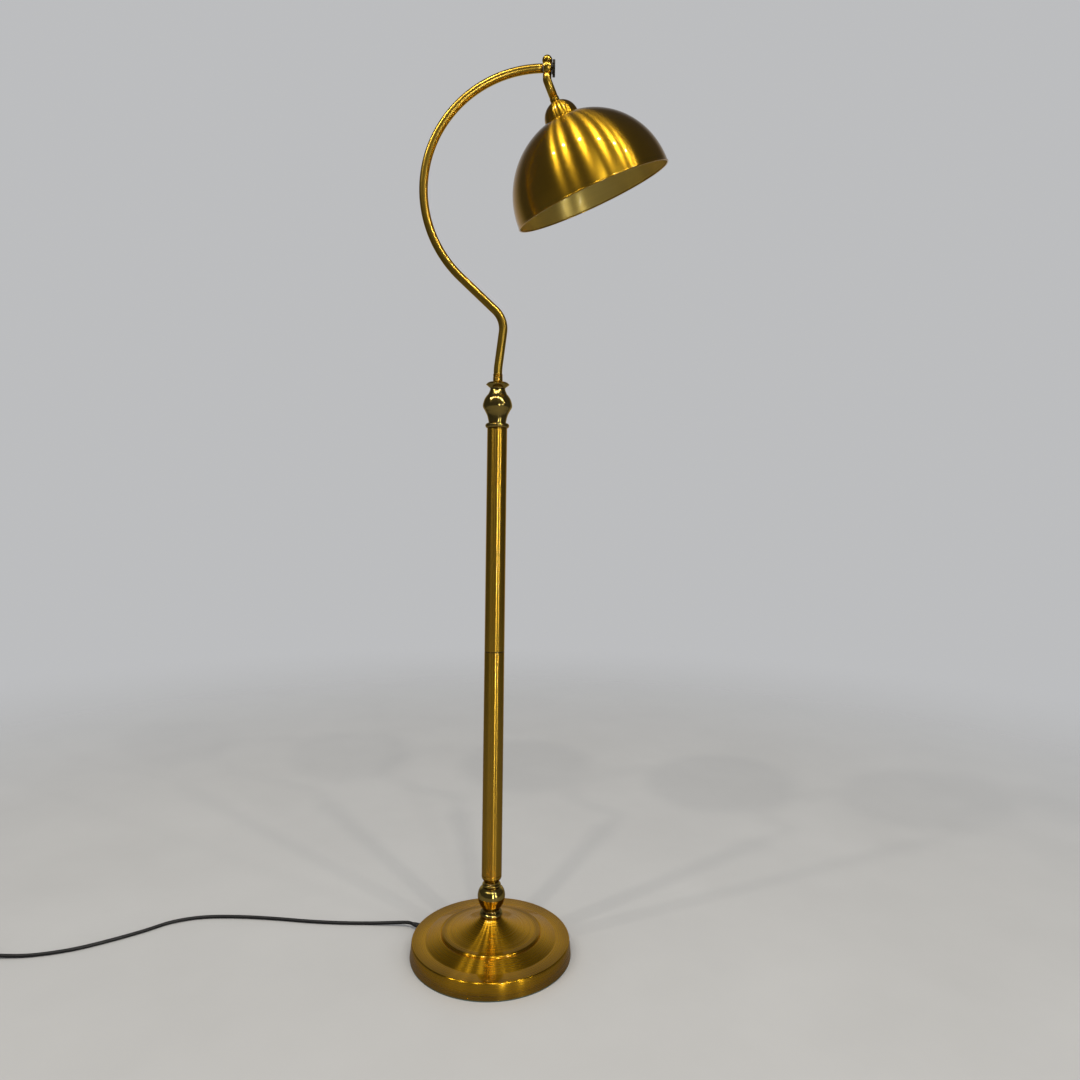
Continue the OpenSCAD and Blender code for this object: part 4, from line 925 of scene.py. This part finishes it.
HOLDER_LOW = 80.0
holder_top = smooth([(9.5, 67.5), (13.5, 69.0), (18.2, 74.5), (20.0, HOLDER_LOW)], 8)
holder_piece("holder_dome", [(WIRE_BORE_R, 67.5)] + holder_top + [(WIRE_BORE_R, HOLDER_LOW)],
             "holder_cap", satin_brass)
sleeve_side = [
    (19.0, HOLDER_LOW), (19.0, 112.0), (19.4, 113.0), (20.4, 113.4), (21.0, 114.4), (21.0, 117.0),
    (20.4, 118.0), (17.4, 118.0), (17.4, HOLDER_LOW),
]
holder_piece("holder_shell", sleeve_side, "holder_sleeve", satin_brass)

# %% Turn the bulb
THREAD_R, THREAD_DEPTH, THREAD_LOW, THREAD_LENGTH = 13.1, 0.55, 94.5, 19.4
THREAD_WAVES, WAVE_STEPS = 6, 8
thread = []
for i in range(THREAD_WAVES * WAVE_STEPS + 1):
    wave = i / WAVE_STEPS
    inward = THREAD_DEPTH * (0.5 - 0.5 * math.cos(2 * math.pi * wave))
    thread.append((THREAD_R - inward, THREAD_LOW + THREAD_LENGTH * wave / THREAD_WAVES))
screw_cap = [(4.5, 90.2), (5.5, 90.8), (11.5, 93.2)] + thread + [(4.5, 113.9)]
holder_piece("bulb_screw_cap", screw_cap, "bulb_cap", rolled_aluminium, ease=0.2, steps=64)
bulb_neck = smooth([(12.8, 114.0), (14.5, 122.55), (20.2, 135.0), (23.1, 145.7)], 8)
BULB_R, BULB_S = 25.5, 156.5
globe = arc((0, BULB_S), BULB_R, -19, 88, 36) + [(0.0, BULB_S + BULB_R)]
holder_piece("bulb_globe", bulb_neck + globe, "bulb_glass", opal_glass)

# %% [markdown]
# ## Along the cord
# A ribbed boot keeps the cord from kinking where it leaves the base. The foot switch is two moulded
# shells with a round button, and the plug is moulded onto the cord's end with a boot of its own.

# %% Mould the strain relief
RIBS, GROOVE = 6, 0.7
RIB_SHAPE = ((0.0, 0.0), (0.55, 0.0), (0.62, GROOVE), (0.93, GROOVE))
CORD_BORE_R, BOOT_START = 3.05, 137.2
TO_OUTLET = Matrix.Rotation(OUTLET_TURN, 4, "Z") @ Matrix.Rotation(math.radians(90), 4, "Y")
OUTLET = Matrix.Translation((0, 0, OUTLET_Z * MM)) @ TO_OUTLET


def ribbed(start, end, radius_start, radius_end):
    """An outline that tapers from one radius to another, with square grooves."""
    points = []
    for i in range(RIBS):
        for t, cut in RIB_SHAPE:
            f = (i + t) / RIBS
            radius = radius_start + (radius_end - radius_start) * f - cut
            points.append((radius, start + (end - start) * f))
    return points + [(radius_end, end)]


boot_foot = [(CORD_BORE_R, BOOT_START), (5.4, BOOT_START), (5.4, 141.6)]
boot_outline = boot_foot + ribbed(142, BOOT_END, 5.3, 3.6) + [(CORD_BORE_R, BOOT_END)]
turned("cord_boot", boot_outline, "stand", ["strain_relief"], slot_of["strain_relief"],
       [black_plastic], place=OUTLET, ease=0.2, steps=48)

# %% Mould the foot switch
SWITCH_FLOOR = SWITCH_MIDDLE - Vector((0, 0, 6))
SWITCH_SIZE = Vector((SWITCH_HALF, 15, 0))
SHELL_CORNER = 8


def switch_shell(name, low_z, high_z, edge, node_name):
    """A box with rounded upright corners, whose top edge is softened."""
    low = SWITCH_FLOOR - SWITCH_SIZE + Vector((0, 0, low_z))
    high = SWITCH_FLOOR + SWITCH_SIZE + Vector((0, 0, high_z))
    size, middle = high - low, (low + high) / 2
    bm = bmesh.new()
    box = Matrix.Translation(middle * MM) @ Matrix.Diagonal((*(size * MM), 1))
    bmesh.ops.create_cube(bm, size=1.0, matrix=box)
    tall = 0.5 * size.z * MM
    upright = [e for e in bm.edges if abs((e.verts[0].co - e.verts[1].co).z) > tall]
    soften(bm, upright, SHELL_CORNER, 8)
    near_top = (high.z - 0.01) * MM
    soften(bm, [e for e in bm.edges if all(v.co.z > near_top for v in e.verts)], edge, 5)
    bmesh.ops.recalc_face_normals(bm, faces=bm.faces)
    return finish_piece(bm, name, "stand", [node_name], [black_plastic])


switch_low = switch_shell("switch_lower_shell", 0, 5.8, 0.4, "foot_switch_base")
switch_high = switch_shell("switch_upper_shell", 6.2, 16.8, 4.0, "foot_switch_cover")
BUTTON_R, BUTTON_LOW = 9.0, 12.2
button_side = [
    (0.0, BUTTON_LOW), (BUTTON_R, BUTTON_LOW), (BUTTON_R, 19.8), (7.8, 21.0), (6.0, 20.7),
    (0.0, 20.4),
]
switch_button = turned(
    "switch_knob", button_side, "switch_button", ["foot_switch_button"],
    slot_of["foot_switch_button"], [dark_bronze_and_painted_shade], place=Matrix.Translation(SWITCH_FLOOR * MM),
    ease=0.5, steps=64)

# %% Mould the plug
PLUG_AT = Vector((PLUG_X, COIL_MIDDLE.y, PLUG_Z)) * MM
PLUG = Matrix.Translation(PLUG_AT) @ Matrix.Rotation(math.radians(90), 4, "X")
PLUG_BOOT_START, PLUG_BOOT_END = 60, 84
boot_outline = (
    [(CORD_BORE_R, PLUG_BOOT_START)]
    + ribbed(PLUG_BOOT_START, PLUG_BOOT_END, 3.9, 5.8)
    + [(CORD_BORE_R, PLUG_BOOT_END)]
)
plug_boot = turned("plug_boot", boot_outline, "stand", [], "black_plastic", [black_plastic],
                   place=PLUG, ease=0.2, steps=48)
PLUG_WIDE, PLUG_THICK, PLUG_MIDDLE, PLUG_EDGE = 34, 13.6, 101, 3.2
bm = bmesh.new()
box = Matrix.Diagonal((PLUG_WIDE * MM, PLUG_THICK * MM, PLUG_WIDE * MM, 1))
bmesh.ops.create_cube(bm, size=1.0, matrix=Matrix.Translation((0, 0, PLUG_MIDDLE * MM)) @ box)
back = [v for v in bm.verts if v.co.z < PLUG_MIDDLE * MM]
bmesh.ops.scale(bm, vec=(0.5, 0.85, 1), verts=back)
soften(bm, bm.edges[:], PLUG_EDGE, 5)
bmesh.ops.recalc_face_normals(bm, faces=bm.faces)
bmesh.ops.transform(bm, verts=bm.verts, matrix=PLUG)
plug_block = finish_piece(bm, "plug_block", "stand", ["plug_body"],
                          [black_plastic])
PIN_R, PIN_LOW, PIN_APART = 2.0, 112, 9.3
pin_side = [(0.0, PIN_LOW), (PIN_R, PIN_LOW), (PIN_R, 136), (1.4, 136.8), (0.0, 137.0)]
for name, x in (("plug_pin_left", -PIN_APART), ("plug_pin_right", PIN_APART)):
    turned(name, pin_side, "stand", ["plug_pins"], "steel", [plated_steel],
                       place=PLUG @ Matrix.Translation((x * MM, 0, 0)), ease=0.3, steps=32)

# %% [markdown]
# ## The cord's exit
# The point where the cord leaves the base is printed.

print("cord declared, exit at", [round(v, 4) for v in cord_points[0]])

# %% [markdown]
# ## Floor and light
# The floor is plain and pale. A row of small ceiling lamps in front of the lamp makes the streaks
# on the brushed brass: each of them becomes one. Two narrow upright strips draw the lines on
# column and arm, and a grey sky fills the rest. Brass shows what stands around it, so floor and
# sky are darker in reflections than they look: the metal keeps its contrast over a pale floor.

# %% Lay the floor
FLOOR_LIGHT, FLOOR_DARK = (0.56, 0.56, 0.555), (0.53, 0.53, 0.525)
FLOOR_REFLECTED = (0.18, 0.18, 0.177, 1.0)
FADE_START, FADE_END = 0.9, 3.2
bm = bmesh.new()
bmesh.ops.create_grid(bm, x_segments=1, y_segments=1, size=9.0)
floor_mesh = bpy.data.meshes.new("floor")
bm.to_mesh(floor_mesh)
bm.free()
floor = bpy.data.objects.new("floor", floor_mesh)
bpy.context.collection.objects.link(floor)
pale_floor = speckled("pale_floor", FLOOR_LIGHT, FLOOR_DARK, rough=0.6, scale=3.0, bump=0.0)
tree = pale_floor.node_tree
shader = tree.nodes["Principled BSDF"]
shader.inputs["Specular IOR Level"].default_value = 0.1
path = add_node(tree, "ShaderNodeLightPath")
seen = shader.inputs["Base Color"].links[0].from_socket
colour = mix_node(tree, "RGBA", path.outputs["Is Glossy Ray"], seen, FLOOR_REFLECTED)
tree.links.new(colour, shader.inputs["Base Color"])
far = add_node(tree, "ShaderNodeVectorMath", operation="LENGTH")
tree.links.new(add_node(tree, "ShaderNodeTexCoord").outputs["Object"], far.inputs[0])
fade = smooth_step(tree, far.outputs["Value"], FADE_START, FADE_END, 0.0, 1.0)
clear = add_node(tree, "ShaderNodeBsdfTransparent")
mixed = add_node(tree, "ShaderNodeMixShader")
for socket, source in zip(mixed.inputs, (fade, shader.outputs[0], clear.outputs[0])):
    tree.links.new(source, socket)
tree.links.new(mixed.outputs[0], tree.nodes["Material Output"].inputs["Surface"])
floor_mesh.materials.append(pale_floor)
floor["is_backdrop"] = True
print("floor laid")

# %% Light the sky
SKY_COLOUR = (0.97, 0.98, 1.0, 1.0)
SKY_SEEN, SKY_FILL = 0.52, 0.5
SKY_REFLECTED, SKY_BEHIND = 0.05, 0.45
world = bpy.data.worlds.new("sky")
bpy.context.scene.world = world
world.use_nodes = True
tree = world.node_tree
sky = tree.nodes["Background"]
way = add_node(tree, "ShaderNodeSeparateXYZ")
tree.links.new(add_node(tree, "ShaderNodeTexCoord").outputs["Generated"], way.inputs[0])
reflected = smooth_step(tree, way.outputs["Y"], 0.5, 1.0, SKY_REFLECTED, SKY_BEHIND)
path = add_node(tree, "ShaderNodeLightPath")
room = mix_node(tree, "FLOAT", path.outputs["Is Glossy Ray"], SKY_FILL, reflected)
strength = mix_node(tree, "FLOAT", path.outputs["Is Camera Ray"], room, SKY_SEEN)
tree.links.new(strength, sky.inputs["Strength"])
sky.inputs["Color"].default_value = SKY_COLOUR
print("world", world.name)


# %% Hang the lights
def panel(name, at, aim, size, power, colour, shape):
    data = bpy.data.lights.new(name, "AREA")
    data.shape, data.size, data.energy, data.color = shape, size, power, colour
    made = bpy.data.objects.new(name, data)
    made.location = at
    made.rotation_euler = (Vector(aim) - Vector(at)).to_track_quat("-Z", "Y").to_euler()
    bpy.context.collection.objects.link(made)
    return made


CEILING_Z, LAMP_AIM, LAMP_SIZE, LAMP_POWER = 4.4, (0.1, 0.0, 0.9), 0.16, 23
LAMP_COLOUR, STRIP_COLOUR = (1.0, 0.94, 0.84), (1.0, 0.98, 0.92)
CEILING = [
    (-3.32, -1.6), (-2.08, -1.62), (-0.85, -1.87), (0.42, -2.16), (1.63, -2.32), (2.93, -2.55),
    (5.99, -3.56),
]
for i, (x, y) in enumerate(CEILING):
    panel(f"ceiling_lamp_{i}", (x, y, CEILING_Z), LAMP_AIM, LAMP_SIZE, LAMP_POWER, LAMP_COLOUR,
          "DISK")
STRIP_AWAY, STRIP_Z, STRIP_WIDE, STRIP_TALL = 3.4, 0.75, 0.08, 1.4
for name, turn, power in (("strip_near", 18.5, 15), ("strip_side", 43.5, 9)):
    a = math.radians(turn)
    at = Vector((math.sin(a), -math.cos(a), 0)) * STRIP_AWAY + Vector((0, 0, STRIP_Z))
    strip = panel(name, at, (0, 0, STRIP_Z), STRIP_WIDE, power, STRIP_COLOUR, "RECTANGLE")
    strip.data.size_y = STRIP_TALL

# %% Sizes and the end
bpy.context.scene.view_settings.view_transform = "Standard"
low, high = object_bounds()
print("scene box", [round(v, 3) for v in low], [round(v, 3) for v in high])
